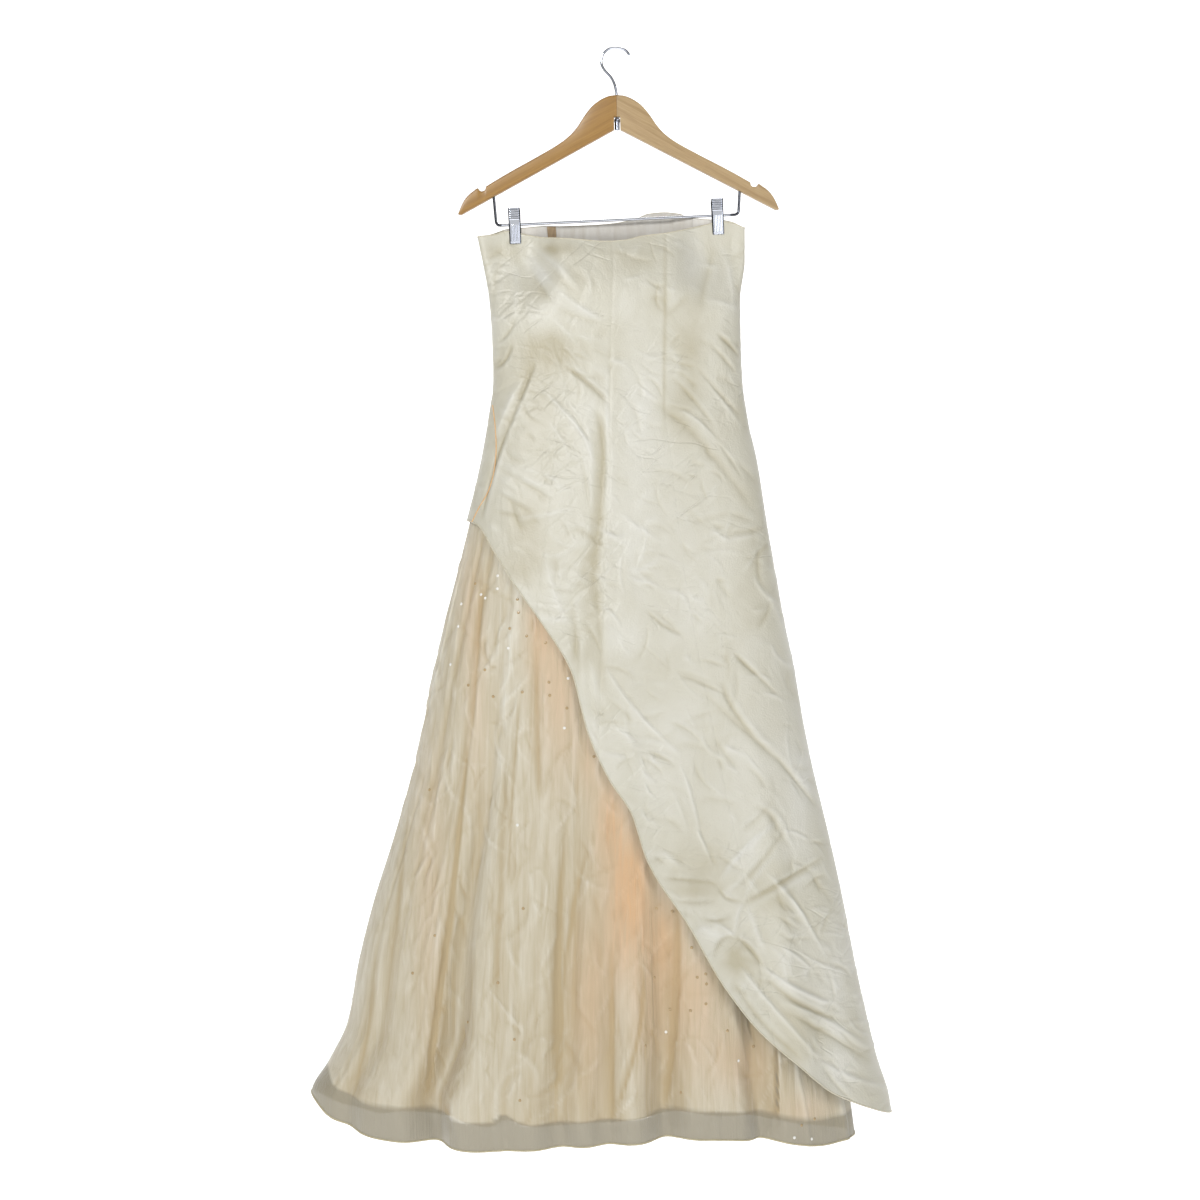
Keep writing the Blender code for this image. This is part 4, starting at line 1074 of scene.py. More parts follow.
def satinPoints(side, angle, drop):
    # the base surface moved along its normal by the creases, and sunk into a groove at both seams
    look = satinRelief
    base, normal, px, py = laidOut(satinBase, angle, drop)
    calm = ease((drop - drop[:1]) / look["topCalm"]) * (1 - look["topLeast"]) + look["topLeast"]
    calm = calm * ease(np.abs(np.sin(angle)) / look["sideCalm"])
    inset = readCurve(skirtShape["insetDrop"], skirtShape["organza"], drop)
    room = np.where(drop > look["skirtFrom"], inset - look["skirtRoom"], look["sink"])
    relief = np.clip(creaseRelief(px, py, creases[side]) * calm, -room, look["rise"])
    length = np.linalg.norm(np.diff(base, axis=1), axis=-1)
    along = np.concatenate([np.zeros((len(base), 1)), np.cumsum(length, axis=1)], axis=1)
    sunk = np.zeros_like(relief)
    for near in (along, along[:, -1:] - along):
        groove = satinShape["seamDepth"] * np.exp(-(near / satinShape["seamWidth"]) ** 2)
        sunk = sunk + np.minimum(groove, room * look["seamShare"])
    # painted shade and highlight: darker in the creases' troughs, paler on their ridges, plus the shading
    # patches
    shadeTone = 0.5 + relief / look["shadeTone"] + patchSum(px, py, satinShadingPatches)
    return base + normal * (relief - sunk)[..., None], shadeTone, normal


satinPanels = (
    ("satin_side_front_left", "front", "leftSide", "Left"),
    ("satin_front_left", "front", "Left", "Middle"),
    ("satin_front_right", "front", "Middle", "Right"),
    ("satin_side_front_right", "front", "Right", "rightSide"),
    ("satin_side_back_right", "back", "rightSide", "Right"),
    ("satin_back_right", "back", "Right", "Middle"),
    ("satin_back_left", "back", "Middle", "Left"),
    ("satin_side_back_left", "back", "Left", "leftSide"),
)
# radii in metres of the cords that finish the cloth's edges
edgeRadius = {"satinTop": 0.0008, "satinHem": 0.0010, "hip": 0.0008, "organza": 0.0012, "lining": 0.0009}


def edgeRoll(name, path, radius, across, material, slot):
    piece = tube(name, path, edgeRadius[radius], across, 8, material)
    attach(piece, slot)
    return piece


def buildSatin():
    for node, side, first, last in satinPanels:
        angle, drop = satinGrid(side, first, last)
        points, shadeTone, normal = satinPoints(side, angle, drop)
        name = "cloth_" + node
        piece = makeObject(name, points, gridFaces(*angle.shape), satinCloth)
        # the painted shade and highlight that the satin's colour reads
        paint(piece, "relief", shadeTone)
        attach(piece, "satin", node)
        rolls = [edgeRoll(name + "_topEdge", points[0], "satinTop", normal[0], cloth["satinEdge"], "satin"),
                 edgeRoll(name + "_hemEdge", points[-1], "satinHem", normal[-1], cloth["satinEdge"], "satin")]
        declareSheet(piece, satinBase(angle, drop))
    print("satin ready")


buildSatin()

# the peach facing's edge that shows at the left hip, in the photo's pixels
hipEdge = ((493, 405), (496, 432), (496, 460), (490, 488), (478, 510), (470, 527))
hipLift = 0.0004


def nearestPoint(px, py, x, y):
    # index of the point that the photo shows nearest to a pixel, and the square of how far off it is
    away = ((px - x) ** 2 + (py - y) ** 2).ravel()
    index = np.argmin(away)
    return index, away[index]


def buildHipEdge():
    # a thin cord laid on the side panel: each pixel's nearest point on the satin, smoothed along its length
    angle, drop = satinGrid("front", "leftSide", "Left")
    points, _, normal = satinPoints("front", angle, drop)
    px, py = inPhoto(points)
    lifted = (points + normal * hipLift).reshape(-1, 3)
    pixels = splinePath([(x, y, 0) for x, y in hipEdge], 8)[:, :2]
    path = lifted[[nearestPoint(px, py, x, y)[0] for x, y in pixels]]
    for _ in range(6):
        path[1:-1] = (path[:-2] + 2 * path[1:-1] + path[2:]) / 4
    edgeRoll("hip_edge", path, "hip", (0, 1, 0), cloth["peachEdge"], "satin")


buildHipEdge()

# upright pleats: how many, their widths in radians, depths in metres, where they start down the dress, how
# long they are, how their middles wander, and the share that sink
pleatLook = {
    "count": 96,
    "widths": (0.012, 0.045),
    "depths": (0.0005, 0.0022),
    "sinkShare": 0.55,
    "starts": (0.45, 1.30),
    "lengths": (0.25, 0.95),
    "waves": (4, 11),
    "phases": (0, 6.3),
    "margin": 0.12,
    "wander": 0.010,
    "lean": 0.018,
    "leanFrom": 1.0,
    "fadeIn": 0.12,
    "fadeOut": 0.16,
}


def pleatRelief(angle, drop, seed):
    # many narrow upright pleats: bells round the dress whose middle wanders down it, faded at both ends
    look = pleatLook
    draw = np.random.default_rng(seed)
    count = look["count"]
    middle = draw.uniform(-np.pi, np.pi, count)
    width = draw.uniform(*look["widths"], count)
    height = draw.uniform(*look["depths"], count) * np.where(draw.random(count) < look["sinkShare"], -1, 1)
    others = [draw.uniform(*look[key], count) for key in ("starts", "lengths", "waves", "phases")]
    relief = np.zeros_like(angle)
    for m, w, h, s, l, k, p in zip(middle, width, height, *others):
        if angle.max() < m - look["margin"] or angle.min() > m + look["margin"]:
            continue
        wander = look["wander"] * np.sin(k * drop + p) + look["lean"] * (drop - look["leanFrom"])
        bell = np.exp(-((angle - m - wander) / w) ** 2)
        fade = ease((drop - s) / look["fadeIn"]) * ease((s + l - drop) / look["fadeOut"])
        relief = relief + h * bell * fade
    return relief


# where the peach of the lining shows through most: pixel, radius across and down, strength
peachGlow = (
    (590, 760, 12, 36, 0.30),
    (610, 822, 16, 46, 0.66),
    (632, 880, 18, 50, 0.76),
    (624, 930, 22, 60, 0.44),
    (664, 936, 20, 44, 0.55),
    (694, 985, 24, 40, 0.35),
    (744, 1062, 30, 34, 0.30),
    (806, 1112, 28, 20, 0.25),
    (560, 690, 22, 80, 0.42),
    (540, 620, 14, 50, 0.45),
    (590, 1000, 20, 90, 0.35),
    (650, 1010, 22, 60, 0.30),
    (700, 1040, 30, 50, 0.22),
    (470, 600, 12, 60, 0.18),
    (430, 900, 16, 150, 0.18),
    (476, 700, 12, 90, 0.20),
)
# golden troughs down the organza, sunk into the surface and painted darker: painted shade where the layers
# also stack. Three points, half width, strength
goldLines = (
    (565, 830, 558, 960, 556, 1095, 4.0, 1.0),
    (536, 620, 537, 720, 540, 800, 5.0, 0.7),
    (467, 740, 452, 900, 424, 1120, 3.6, 1.1),
    (461, 880, 440, 990, 428, 1100, 2.4, 0.9),
    (588, 850, 566, 960, 562, 1100, 2.6, 0.7),
    (640, 960, 640, 1030, 612, 1120, 2.4, 0.9),
    (520, 700, 512, 800, 508, 900, 2.4, 0.6),
    (481, 560, 478, 640, 470, 740, 3.5, 0.7),
    (677, 900, 676, 1000, 664, 1120, 4.0, 1.0),
    (612, 940, 612, 1040, 612, 1140, 3.5, 0.8),
    (776, 1045, 777, 1090, 776, 1130, 1.8, 1.9),
    (507, 760, 500, 900, 496, 1060, 5.0, 0.5),
    (376, 960, 366, 1040, 350, 1110, 4.0, 0.5),
    (410, 800, 396, 920, 380, 1060, 4.0, 0.45),
)
# painted shade: narrow brown lines where one fold laps the next. Three points, half width, strength
lappedFoldShade = (
    (776, 1044, 777, 1090, 775, 1132, 1.6, 1.3),
    (661, 1050, 660, 1090, 660, 1140, 1.4, 0.5),
)
crinkleLook = dict(count=680, lengths=(10, 62), widths=(1.4, 3.2), heights=(0.0005, 0.0018), spread=26)
organzaCrinkles = {
    "front": fineCreases(31, area=(400, 560, 790, 1130), slant=98, **crinkleLook),
    "back": fineCreases(32, area=(330, 560, 880, 1130), slant=84, **crinkleLook),
}
gores = (
    ("front_left", -math.pi, -math.pi / 2),
    ("front_right", -math.pi / 2, 0.0),
    ("back_right", 0.0, math.pi / 2),
    ("back_left", math.pi / 2, math.pi),
)
organzaSurface = skirtBase("organza", 1.0)
liningSurface = skirtBase("lining", skirtShape["liningSpread"])
organzaPlaces = []


def liningEnd(angle):
    # how far above the organza's hem the lining ends
    return skirtShape["liningShort"] + readCurve(skirtShape["liftShare"], skirtShape["lift"], np.cos(angle))


def skirtGrid(surface, first, last, top, shorter, step):
    # even angles between two seams, and drops from a level top down to the hem, in steps 1.5 times as long
    # as those round. A coarse grid is measured first.
    def spread(rows, columns):
        angles = np.linspace(first, last, columns)
        hem = skirtHem(angles) - shorter(angles)
        return np.tile(angles, (rows, 1)), top + np.linspace(0, 1, rows)[:, None] * (hem - top)

    width, length, _ = sheetSizes(surface(*spread(40, 90)))
    return spread(int(length / step / 1.5), int(width / step))


# the organza's relief in metres, its paint of shade and highlight, and how each fades. Pixels are the
# photo's.
organzaRelief = {
    "step": 0.0030,
    "top": 0.02,
    "seed": 23,
    "backShift": 20,
    "goldFrom": (0.5, 0.2),
    "goldDeep": (2, 0.0025),
    "smooth": (0.4, 385, 60),
    "limits": (-0.005, 0.003),
    "from": (0.5, 0.15),
    "sideCalm": 0.08,
    "shadeTone": 0.52,
    "toneStep": 0.011,
    "foldTone": (0.07, 0.20),
    "goldTone": (1.6, 0.40),
    "glowMost": 0.85,
    "backGlow": 0.6,
    "band": (0.011, 0.004, 0.95),
}


def organzaPaint(piece, side, px, py, relief, fold, gold, aboveHem, angle):
    # tone falls with the folds' depth and the golden lines: painted shade in the folds, where the layers also
    # stack, and painted highlight on the ridges. The band is painted shade, where no lining lies behind and
    # along the lapped folds.
    look = organzaRelief
    front = side == "front"
    deepest, mostFold = look["foldTone"]
    mostGold, goldShare = look["goldTone"]
    shadeTone = look["shadeTone"] + relief / look["toneStep"] - np.clip(fold / deepest, 0, mostFold)
    paint(piece, "relief", shadeTone - np.clip(gold, 0, mostGold) * goldShare)
    glow = np.clip(patchSum(px, py, peachGlow), 0, look["glowMost"])
    paint(piece, "glow", glow * (1.0 if front else look["backGlow"]))
    start, soft, most = look["band"]
    unlined = ease((liningEnd(angle) + start - aboveHem) / soft) * most
    lapped = creaseRelief(px, py, np.array(lappedFoldShade)) * (1.0 if front else 0.0)
    paint(piece, "band", np.maximum(unlined, np.clip(lapped, 0, 1)))


def buildOrganza():
    look = organzaRelief
    for place, first, last in gores:
        side = place.split("_")[0]
        top = skirtShape["organzaTop"] + look["top"]
        angle, drop = skirtGrid(organzaSurface, first, last, top, np.zeros_like, look["step"])
        base, normal, px, py = laidOut(organzaSurface, angle, drop)
        start, soft = look["goldFrom"]
        shift = 0 if side == "front" else look["backShift"]
        gold = creaseRelief(px, py + shift, np.array(goldLines)) * ease((drop - start) / soft)
        least, start, soft = look["smooth"]
        smooth = least + (1 - least) * ease((px - start) / soft)
        most, deep = look["goldDeep"]
        relief = pleatRelief(angle, drop, look["seed"]) * smooth - np.clip(gold, 0, most) * deep
        relief = relief + creaseRelief(px, py, organzaCrinkles[side]) * smooth
        # nothing at the side seams, where front and back meet
        start, soft = look["from"]
        calm = ease((drop - start) / soft) * ease(np.abs(np.sin(angle)) / look["sideCalm"])
        relief = np.clip(relief, *look["limits"]) * calm
        points = base + normal * relief[..., None]
        name = "cloth_organza_" + place
        piece = makeObject(name, points, gridFaces(*angle.shape), organzaCloth)
        organzaPaint(piece, side, px, py, relief, foldDepth(angle, drop, 1.0), gold, drop[-1:] - drop, angle)
        attach(piece, "organza", "organza_" + place)
        roll = edgeRoll(name + "_rolledHem", points[-1], "organza", normal[-1], cloth["rolledHem"], "organza")
        declareSheet(piece, points)
        organzaPlaces.append((side, points, normal, px, py, drop, angle))
    print("organza ready")


buildOrganza()

liningLook = {"step": 0.006, "seed": 71, "pleats": 0.8, "wall": 0.0006}


def buildLining():
    look = liningLook
    for place, first, last in gores:
        angle, drop = skirtGrid(liningSurface, first, last, skirtShape["liningTop"], liningEnd, look["step"])
        normal = outward(liningSurface, angle, drop)
        relief = pleatRelief(angle, drop, look["seed"]) * look["pleats"]
        points = liningSurface(angle, drop) + normal * relief[..., None]
        name = "cloth_lining_" + place
        piece = makeObject(name, points, gridFaces(*angle.shape), cloth["lining"])
        thicken(piece, look["wall"])
        attach(piece, "lining", "lining_" + place)
        roll = edgeRoll(name + "_hemEdge", points[-1], "lining", normal[-1], cloth["lining"], "lining")
        declareSheet(piece, points)
    print("lining ready")


buildLining()

facingShape = {
    "strip": (-0.162, 0.162),
    "deep": 0.028,
    "lower": 0.0006,
    "sunk": 0.0016,
    "wall": 0.0008,
    "tape": (-0.1000, -0.0876),
    "tapeSunk": 0.0030,
    "drop": 0.24,
    "step": 0.0018,
    "rows": 18,
    "limits": (-0.0006, 0.0016),
}
# pleats across the facing: x in pixels, width, depth in mm
facingPleats = (
    (640, 2.0, 0.7),
    (676, 2.2, 1.4),
    (690, 1.8, -0.8),
    (695, 1.8, 0.8),
    (590, 2.0, 0.5),
    (610, 2.0, -0.4),
)


def facingStrip(name, lowX, highX, sunk, slot, node):
    # a strip on the inside of the back's top edge: the back's surface moved inwards
    look = facingShape
    left, right = (float(outlineAt(key, look["drop"])) for key in ("left", "right"))
    start, end = (math.acos((2 * x - left - right) / (right - left)) for x in (highX, lowX))
    angles = np.linspace(start, end, max(6, int((highX - lowX) / look["step"])))
    drop = satinTop("back", angles) + look["lower"] + np.linspace(0, look["deep"], look["rows"])[:, None]
    angle = np.tile(angles, (look["rows"], 1))
    base, normal, px, _ = laidOut(satinBase, angle, drop)
    relief = np.zeros_like(px)
    for x, width, deep in facingPleats:
        relief = relief + 0.001 * deep * np.exp(-((px - x) / width) ** 2)
    points = base - normal * (sunk + np.clip(relief, *look["limits"]))[..., None]
    piece = makeObject(name, points, gridFaces(*angle.shape), cloth[slot])
    thicken(piece, look["wall"])
    attach(piece, slot, node)
    declareSheet(piece, points)


facingStrip("facing_strip", *facingShape["strip"], facingShape["sunk"], "facing", "facing_back")
facingStrip("facing_tape_strip", *facingShape["tape"], facingShape["tapeSunk"], "tape", "facing_tape")
print("facing ready")

# sequins on the organza, in the photo's pixels: the pale ones and the tarnished ones
paleSequins = (
    (497.5, 575.7), (497.5, 588.8), (480, 594.6), (484.6, 597.8), (460.6, 605.2), (457.7, 628),
    (508.6, 647.6), (450.4, 663.5), (568, 676.9), (563.9, 727.9), (665, 1032.6), (739, 1060), (812, 1138.6),
    (794, 1137), (516.5, 824.5),
)
brownSequins = (
    (475, 582.8), (518, 601), (518, 613.6), (510, 629.5), (526, 635.7), (546, 641.3), (484.6, 670),
    (549, 681.8), (468, 685), (521.6, 693), (550, 697), (492.6, 698), (567, 709), (596, 758), (429, 789),
    (601.7, 801.6), (610.6, 869), (523, 909.6), (657, 909.6), (672.6, 910), (435.7, 934.5), (691.6, 946.5),
    (705.5, 972.5), (411.8, 974.3), (697, 977), (655.7, 978.6), (499, 983.5), (707, 985), (706, 1004),
    (669, 1010), (690, 1012), (467.8, 1021), (727, 1030.6), (514.7, 1038.6), (753, 1046), (647, 1046.6),
    (681.6, 1094), (521, 1100.4), (814, 1119.5), (801, 1126.5),
)
sequinShape = {
    "radius": 0.0021,
    "rise": 0.0009,
    "shoulder": 0.7,
    "crown": 1.15,
    "rimLift": 0.0002,
    "underLift": 0.0001,
    "sides": 10,
    "onBack": 46,
    "brownShare": 0.7,
    "clear": 0.02,
    "middle": 616,
    "missed": 25,
}


def sequinSpots():
    # places, normals and a 1 for brown: the front's at their pixels, the back's strewn where organza shows
    found = []
    draw = np.random.default_rng(5)
    look = sequinShape
    for side, points, normal, px, py, drop, angle in organzaPlaces:
        flat = np.concatenate([points, normal], axis=-1).reshape(-1, 6)
        if side == "front":
            for number, (x, y) in enumerate(paleSequins + brownSequins):
                index, away = nearestPoint(px, py, x, y)
                if (x < look["middle"]) == (points[:, :, 0].mean() < 0) and away <= look["missed"]:
                    found.append((*flat[index], float(number >= len(paleSequins))))
            continue
        shown = (drop > satinHem(angle) + look["clear"]) & (drop < drop[-1:] - look["clear"])
        for index in draw.choice(np.flatnonzero(shown.ravel()), look["onBack"] // 2, replace=False):
            found.append((*flat[index], float(draw.random() < look["brownShare"])))
    found = np.array(found)
    return found[:, :3], found[:, 3:6], found[:, 6]


def buildSequins():
    # each is a low dome of two rings and a middle, set on the nearest point of the organza
    spots, facings, brown = sequinSpots()
    side = np.cross(facings, (0.0, 0.0, 1.0))
    side /= np.linalg.norm(side, axis=1, keepdims=True)
    look = sequinShape
    n, rise = look["sides"], look["rise"]
    ring = ringAround(side, np.cross(side, facings), n) * look["radius"]
    centre, lift = spots[:, None], facings[:, None]
    low, high = centre + ring + lift * look["rimLift"], centre + ring * look["shoulder"] + lift * rise
    top, under = centre + lift * rise * look["crown"], centre + lift * look["underLift"]
    each = np.concatenate([low, high, top, under], axis=1)
    faces = []
    for a in range(n):
        b = (a + 1) % n
        faces += [(a, b, n + b), (a, n + b, n + a), (n + a, n + b, 2 * n), (b, a, 2 * n + 1)]
    every = (np.array(faces)[None] + np.arange(len(spots))[:, None, None] * (2 * n + 2)).reshape(-1, 3)
    piece = makeObject("sequins", each.reshape(-1, 3), every, sequinFilm, smooth=False)
    paint(piece, "brown", np.repeat(brown, 2 * n + 2))
    attach(piece, "organza")
    print("sequins ready", len(spots))


buildSequins()

arm = {
    "topReach": (0.00015, 0.009, 0.0181, 0.0275, 0.035, 0.0449, 0.0556, 0.0654, 0.0793, 0.112, 0.148, 0.1815,
                 0.1836, 0.1844, 0.1863, 0.1895, 0.1925, 0.1941, 0.1952, 0.2005, 0.2072, 0.2135, 0.2182,
                 0.2217, 0.2226),
    "topDrop": (0.0643, 0.0652, 0.0683, 0.0738, 0.08, 0.092, 0.108, 0.119, 0.1298, 0.1487, 0.168, 0.1874,
                0.1888, 0.1922, 0.1944, 0.1951, 0.194, 0.1912, 0.1909, 0.1943, 0.1994, 0.2065, 0.2147,
                0.2233, 0.2262),
    "apex": 0.1103,
    "slope": 0.5356,
    "slot": (0.0044, 0.0950),
    "slotRings": (0.00441, 0.0045),
    "rings": ((0.00015, 0.18, 90), (0.18, 0.2226, 70)),
    "tilt": 0.9,
    "half": 0.006,
    "round": 0.0030,
    "roundShare": 0.98,
    "thinnest": 0.0004,
    "foot": 0.2187,
    "end": 0.2226,
    "tipDrop": 0.2266,
}


def turnXZ(points, turn):
    # x and z turned about the Y axis: the right end goes up
    x, y, z = points[..., 0], points[..., 1], points[..., 2]
    cos, sin = math.cos(turn), math.sin(turn)
    return np.stack([x * cos - z * sin, y, x * sin + z * cos], axis=-1)


def tiltRight(points):
    # turns about the hook so that the right end is the higher one
    return turnXZ(points, math.radians(arm["tilt"]))


def buildArm(name, side, material, node):
    # rings along the arm: a rounded rectangle between the upper and the lower edge's drop at each reach
    reach = np.unique(np.concatenate([*(np.linspace(*ends) for ends in arm["rings"]), arm["slotRings"]]))
    top = readCurve(arm["topReach"], arm["topDrop"], reach)
    low = arm["apex"] + arm["slope"] * np.minimum(reach, arm["foot"])
    slotHalf, slotDrop = arm["slot"]
    low = np.where(reach < slotHalf + 1e-5, slotDrop, low)
    beyond = np.clip((reach - arm["foot"]) / (arm["end"] - arm["foot"]), 0, 1)
    low = low - beyond * (low - arm["tipDrop"])
    middle, half = -(top + low) / 2, np.maximum((low - top) / 2, arm["thinnest"])
    corner = np.minimum(arm["round"], half * arm["roundShare"])
    turn = np.linspace(0, np.pi / 2, 6)
    ringY, ringZ = [], []
    for start, signY, signZ in ((0, 1, 1), (1, -1, 1), (2, -1, -1), (3, 1, -1)):
        phase = turn + start * np.pi / 2
        ringY.append(signY * (arm["half"] - corner)[:, None] + corner[:, None] * np.cos(phase))
        ringZ.append(signZ * (half - corner)[:, None] + corner[:, None] * np.sin(phase))
    y, z = np.concatenate(ringY, axis=1), np.concatenate(ringZ, axis=1) + middle[:, None]
    x = np.broadcast_to(side * reach[:, None], y.shape)
    points = tiltRight(np.stack([x, y, z], axis=-1))
    count = y.shape[1]
    faces = [tuple(face) for face in gridFaces(len(reach), count, True)]
    last = (len(reach) - 1) * count
    faces += [tuple(range(count)), tuple(range(last, last + count))]
    attach(closedMesh(name, points, faces, material, 50), "wood", node)


buildArm("beech_arm_left", -1, leftWood, "hanger_arm_left")
buildArm("beech_arm_right", 1, rightWood, "hanger_arm_right")

# the hook's bend, the shank inside the wood, its rounded tip and the riveted foot
hookShape = {
    "wire": 0.0017,
    "x": (0, -0.0012, -0.0031, -0.0076, -0.0171, -0.0206, -0.0182, -0.0102, -0.0006, 0.009, 0.0145, 0.0181),
    "drop": (0.064, 0.056, 0.048, 0.0389, 0.0278, 0.0181, 0.007, -0.0003, -0.002, -0.0003, 0.0028, 0.0078),
    "shank": (0.0950, 0.0655),
    "tipReach": (0.0004, 0.0009, 0.0012),
    "tipRadius": (0.95, 0.7, 0.35),
    "footDrop": (0.1129, 0.1127, 0.1125, 0.1022, 0.1020, 0.1016, 0.0978, 0.0976, 0.0960, 0.0956),
    "footRadius": (0.0022, 0.0031, 0.0034, 0.0034, 0.0037, 0.0040, 0.0040, 0.0036, 0.0028, 0.0017),
}


def chromeTube(name, path, radius, sides, node):
    attach(tube(name, path, radius, (0, 1, 0), sides, chrome), "chrome", node)


def buildHook():
    # the riveted foot, the shank through the wood and the bend above, as one turned and bent wire
    look = hookShape
    bend = splinePath([(x, 0, -drop) for x, drop in zip(look["x"], look["drop"])], 10)
    foot = np.array([(0, 0, -drop) for drop in look["footDrop"]])
    shank = np.linspace(*((0, 0, -drop) for drop in look["shank"]), 8)
    along = bend[-1] - bend[-2]
    along /= np.linalg.norm(along)
    tip = bend[-1] + along * np.array(look["tipReach"])[:, None]
    path = tiltRight(np.concatenate([foot, shank, bend, tip]))
    plain = np.full(len(shank) + len(bend), look["wire"])
    radius = np.concatenate([look["footRadius"], plain, look["wire"] * np.array(look["tipRadius"])])
    chromeTube("chrome_hook", path, radius, 20, "hook")


buildHook()


def buildBar():
    # one wire: a leg, a rounded corner, the bar, a rounded corner and a leg
    leftTop, rightTop = (np.array((top, 0, -drop)) for _, top, drop in bar["legs"])
    leftLow, rightLow = (np.array((corner, 0, -barDrop(corner))) for corner, _, _ in bar["legs"])
    path = [np.linspace(leftTop, leftLow, 12)[:-3]]
    for before, corner, after in ((leftTop, leftLow, rightLow), (leftLow, rightLow, rightTop)):
        into = (corner - before) / np.linalg.norm(corner - before) * bar["corner"]
        out = (after - corner) / np.linalg.norm(after - corner) * bar["corner"]
        t = np.linspace(0, 1, 12)[:, None]
        path.append((1 - t) ** 2 * (corner - into) + 2 * t * (1 - t) * corner + t ** 2 * (corner + out))
        if before is leftTop:
            path.append(np.linspace(corner + out, after - out, 40)[1:-1])
    path.append(np.linspace(rightLow, rightTop, 12)[3:])
    chromeTube("chrome_bar", np.concatenate(path), bar["wire"], 18, "trouser_bar")


buildBar()

# one jaw: how far out its plate lies at each height, the grip with its ribs, the flanges at both sides, the
# plate's ridges and the lip's teeth, then the sleeve on the pivot
clip = {
    "width": 0.0166,
    "wall": 0.0009,
    "out": (0.0036, 0.0036, 0.0041, 0.0046, 0.0053, 0.0115),
    "up": (-0.0272, -0.0256, -0.0238, 0.0, 0.0062, 0.0218),
    "rows": ((-0.0272, 0.0062, 44), (0.0062, 0.0218, 60)),
    "columns": 33,
    "grip": (0.0068, 0.0214, 0.0008),
    "ribs": 5,
    "ribHeight": 0.0006,
    "ribSpan": (0.0066, 0.0150),
    "flange": (0.80, 0.0022),
    "inner": (0.70, 0.12),
    "ridges": (2.0, 0.0003),
    "plate": (0.002, 0.004),
    "teeth": (3.5, 0.0009),
    "lip": (0.0272, 0.003),
    "sleeveLength": 0.0140,
    "sleeveBevel": 0.0006,
    "sleeveRadius": (0.0022, 0.0028, 0.0032),
}


def clipPlace(points, place):
    # from the clip's own place, square to the bar, to the hanger
    return turnXZ(points, math.atan(bar["slope"])) + (place, 0.0, -barDrop(place))


def buildJaw(name, place, side, node):
    # a bent plate: its side view carried across, with rolled flanges, ribs on the grip and teeth at the lip
    lower, upper = (np.linspace(*ends) for ends in clip["rows"])
    along = np.concatenate([lower, upper[1:]])
    u = np.linspace(-1, 1, clip["columns"])
    start, end, soft = clip["grip"]
    grip = ease((along - start) / soft) * ease((end - along) / soft)
    start, span = clip["ribSpan"]
    ribs = 0.5 - 0.5 * np.cos(2 * np.pi * clip["ribs"] * (along - start) / span)
    start, rolled = clip["flange"]
    flange = rolled * np.clip((np.abs(u) - start) / (1 - start), 0, 1) ** 2
    start, soft = clip["inner"]
    inner = 1 - ease((np.abs(u) - start) / soft)
    count, height = clip["ridges"]
    ridge = height * np.cos(2 * np.pi * u * count) ** 2
    start, soft = clip["plate"]
    plate = 1 - ease((along + start) / soft)
    out = np.interp(along, clip["up"], clip["out"])[:, None] - flange
    out = out + (clip["ribHeight"] * (grip * ribs)[:, None] + ridge * plate[:, None]) * inner
    count, height = clip["teeth"]
    teeth = height * np.abs(((u * count) % 1.0) - 0.5) * 2
    start, soft = clip["lip"]
    lip = 1 - ease((along + start) / soft)
    up = along[:, None] + lip[:, None] * teeth
    x = np.broadcast_to(u * clip["width"] / 2, out.shape)
    points = clipPlace(np.stack([x, side * out, up], axis=-1), place)
    faces = gridFaces(*out.shape)
    if side < 0:
        faces = faces[:, ::-1]
    piece = makeObject(name, points, faces, chrome)
    thicken(piece, clip["wall"])
    attach(piece, "chrome", node)


def buildClips():
    half, bevel = clip["sleeveLength"] / 2, clip["sleeveBevel"]
    x = np.array([-half, -half, bevel - half, half - bevel, half, half])
    radius = clip["sleeveRadius"] + clip["sleeveRadius"][::-1]
    for word, place in zip(("left", "right"), pinch["places"]):
        buildJaw("clip_" + word, place, -1, f"clip_{word}_front_jaw")
        buildJaw(f"clip_{word}_behind", place, 1, f"clip_{word}_back_jaw")
        path = clipPlace(np.stack([x, 0 * x, 0 * x], axis=-1), place)
        chromeTube(f"clip_{word}_sleeve", path, radius, 20, f"clip_{word}_pivot")


buildClips()
print("hanger ready")

# The room's floor and wall, its sky, and the lights. A dark band of the sky is an axis, its middle and where
# it starts and ends.
studio = {
    "floor": -1.80,
    "front": -7.0,
    "wall": 3.4,
    "wallTop": 7.0,
    "bend": 1.2,
    "half": 9.0,
    "paint": (0.93, 0.93, 0.93, 1.0),
    "glow": 0.45,
    "world": 0.62,
    "sides": 0.05,
    "darkBands": (("X", 0.0, 0.50, 0.80), ("Z", 0.55, 0.34, 0.20)),
    "target": (0, 0, -0.8),
}
# name, place, size, power
lights = (
    ("key", (-2.0, -4.6, 1.6), 1.5, 164),
    ("fill", (2.4, -3.2, 0.3), 2.0, 40),
    ("behind", (0.8, 2.6, 1.8), 2.0, 30),
)


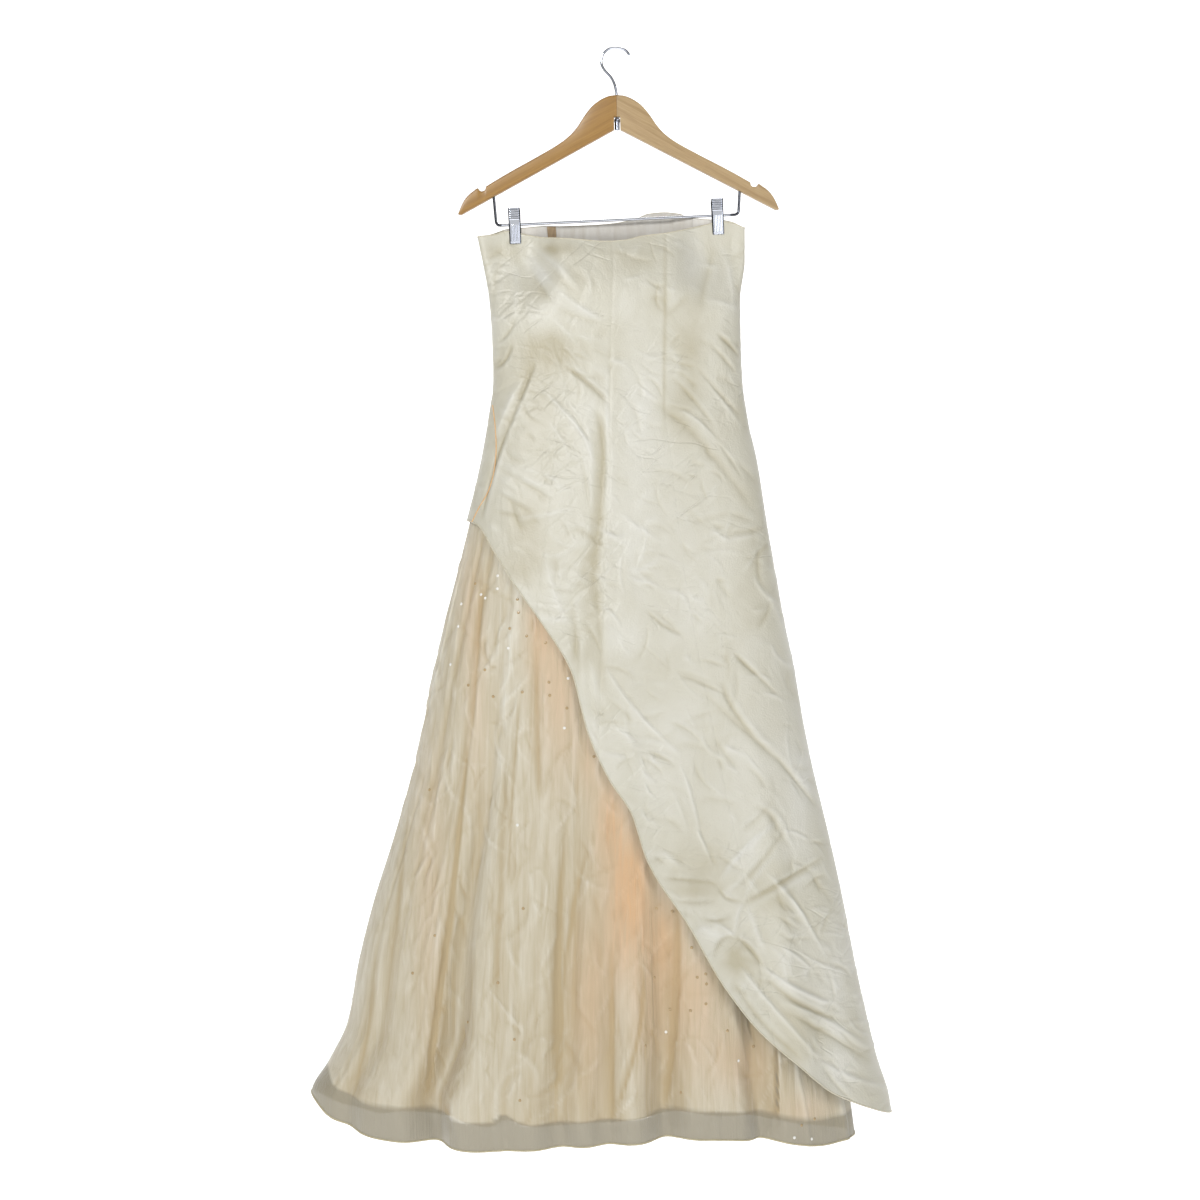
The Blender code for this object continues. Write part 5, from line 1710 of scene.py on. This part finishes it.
def buildStage():
    # a floor that bends up into a wall behind the dress, clear from behind so that the dress's back shows too
    turn = np.linspace(0, np.pi / 2, 24)
    bend, wall = studio["bend"], studio["wall"]
    y = np.concatenate([[studio["front"]], wall - bend + bend * np.sin(turn), [wall]])
    z = np.concatenate([[0.0], bend * (1 - np.cos(turn)), [studio["wallTop"]]]) + studio["floor"]
    x = np.array([-studio["half"], studio["half"]])
    points = np.stack(np.broadcast_arrays(x[None, :], y[:, None], z[:, None]), axis=-1)
    made, tree, shader = nodeMaterial("paleFloor")
    feed(tree, shader, {"Base Color": studio["paint"], "Roughness": 0.9, "Specular IOR Level": 0.1,
                        "Emission Color": (1, 1, 1, 1), "Emission Strength": studio["glow"]})
    behind = addNode(tree, "NewGeometry").outputs["Backfacing"]
    clear = addNode(tree, "BsdfTransparent").outputs[0]
    mixed = addNode(tree, "MixShader", {0: behind, 1: shader.outputs[0], 2: clear})
    feed(tree, tree.nodes["Material Output"], {"Surface": mixed.outputs[0]})
    floor = makeObject("pale_floor", points[::-1], gridFaces(len(y), 2), made)


def areaLight(name, place, size, power):
    light = bpy.data.lights.new(name, "AREA")
    light.shape = "DISK"
    light.size = size
    light.energy = power
    lamp = bpy.data.objects.new(name, light)
    lamp.location = place
    lamp.rotation_euler = (Vector(studio["target"]) - Vector(place)).to_track_quat("-Z", "Y").to_euler()
    bpy.context.scene.collection.objects.link(lamp)


def lightScene():
    # white in front, behind and overhead, dark to both sides and in a ring above, so that rounded metal
    # shows. The sky itself is seen as plain white.
    world = bpy.data.worlds.new("studioWorld")
    world.use_nodes = True
    tree = world.node_tree
    direction = addNode(tree, "TexCoord").outputs["Generated"]
    parts = addNode(tree, "SeparateXYZ", {0: direction}).outputs
    bands = []
    for axis, middle, start, end in studio["darkBands"]:
        away = mathNode(tree, "ABSOLUTE", mathNode(tree, "SUBTRACT", parts[axis], middle))
        bands.append(rangeNode(tree, away, start, end))
    level = rangeNode(tree, mathNode(tree, "MAXIMUM", *bands), 0.0, 1.0, studio["world"], studio["sides"])
    seen = addNode(tree, "LightPath").outputs["Is Camera Ray"]
    strength = mathNode(tree, "MAXIMUM", level, seen)
    feed(tree, tree.nodes["Background"], {"Color": (1, 1, 1, 1), "Strength": strength})
    bpy.context.scene.world = world
    for light in lights:
        areaLight(*light)
    bpy.context.scene.view_settings.view_transform = "Standard"


buildStage()
lightScene()
print("stage ready")
print("sheets", json.dumps(sheetFacts))
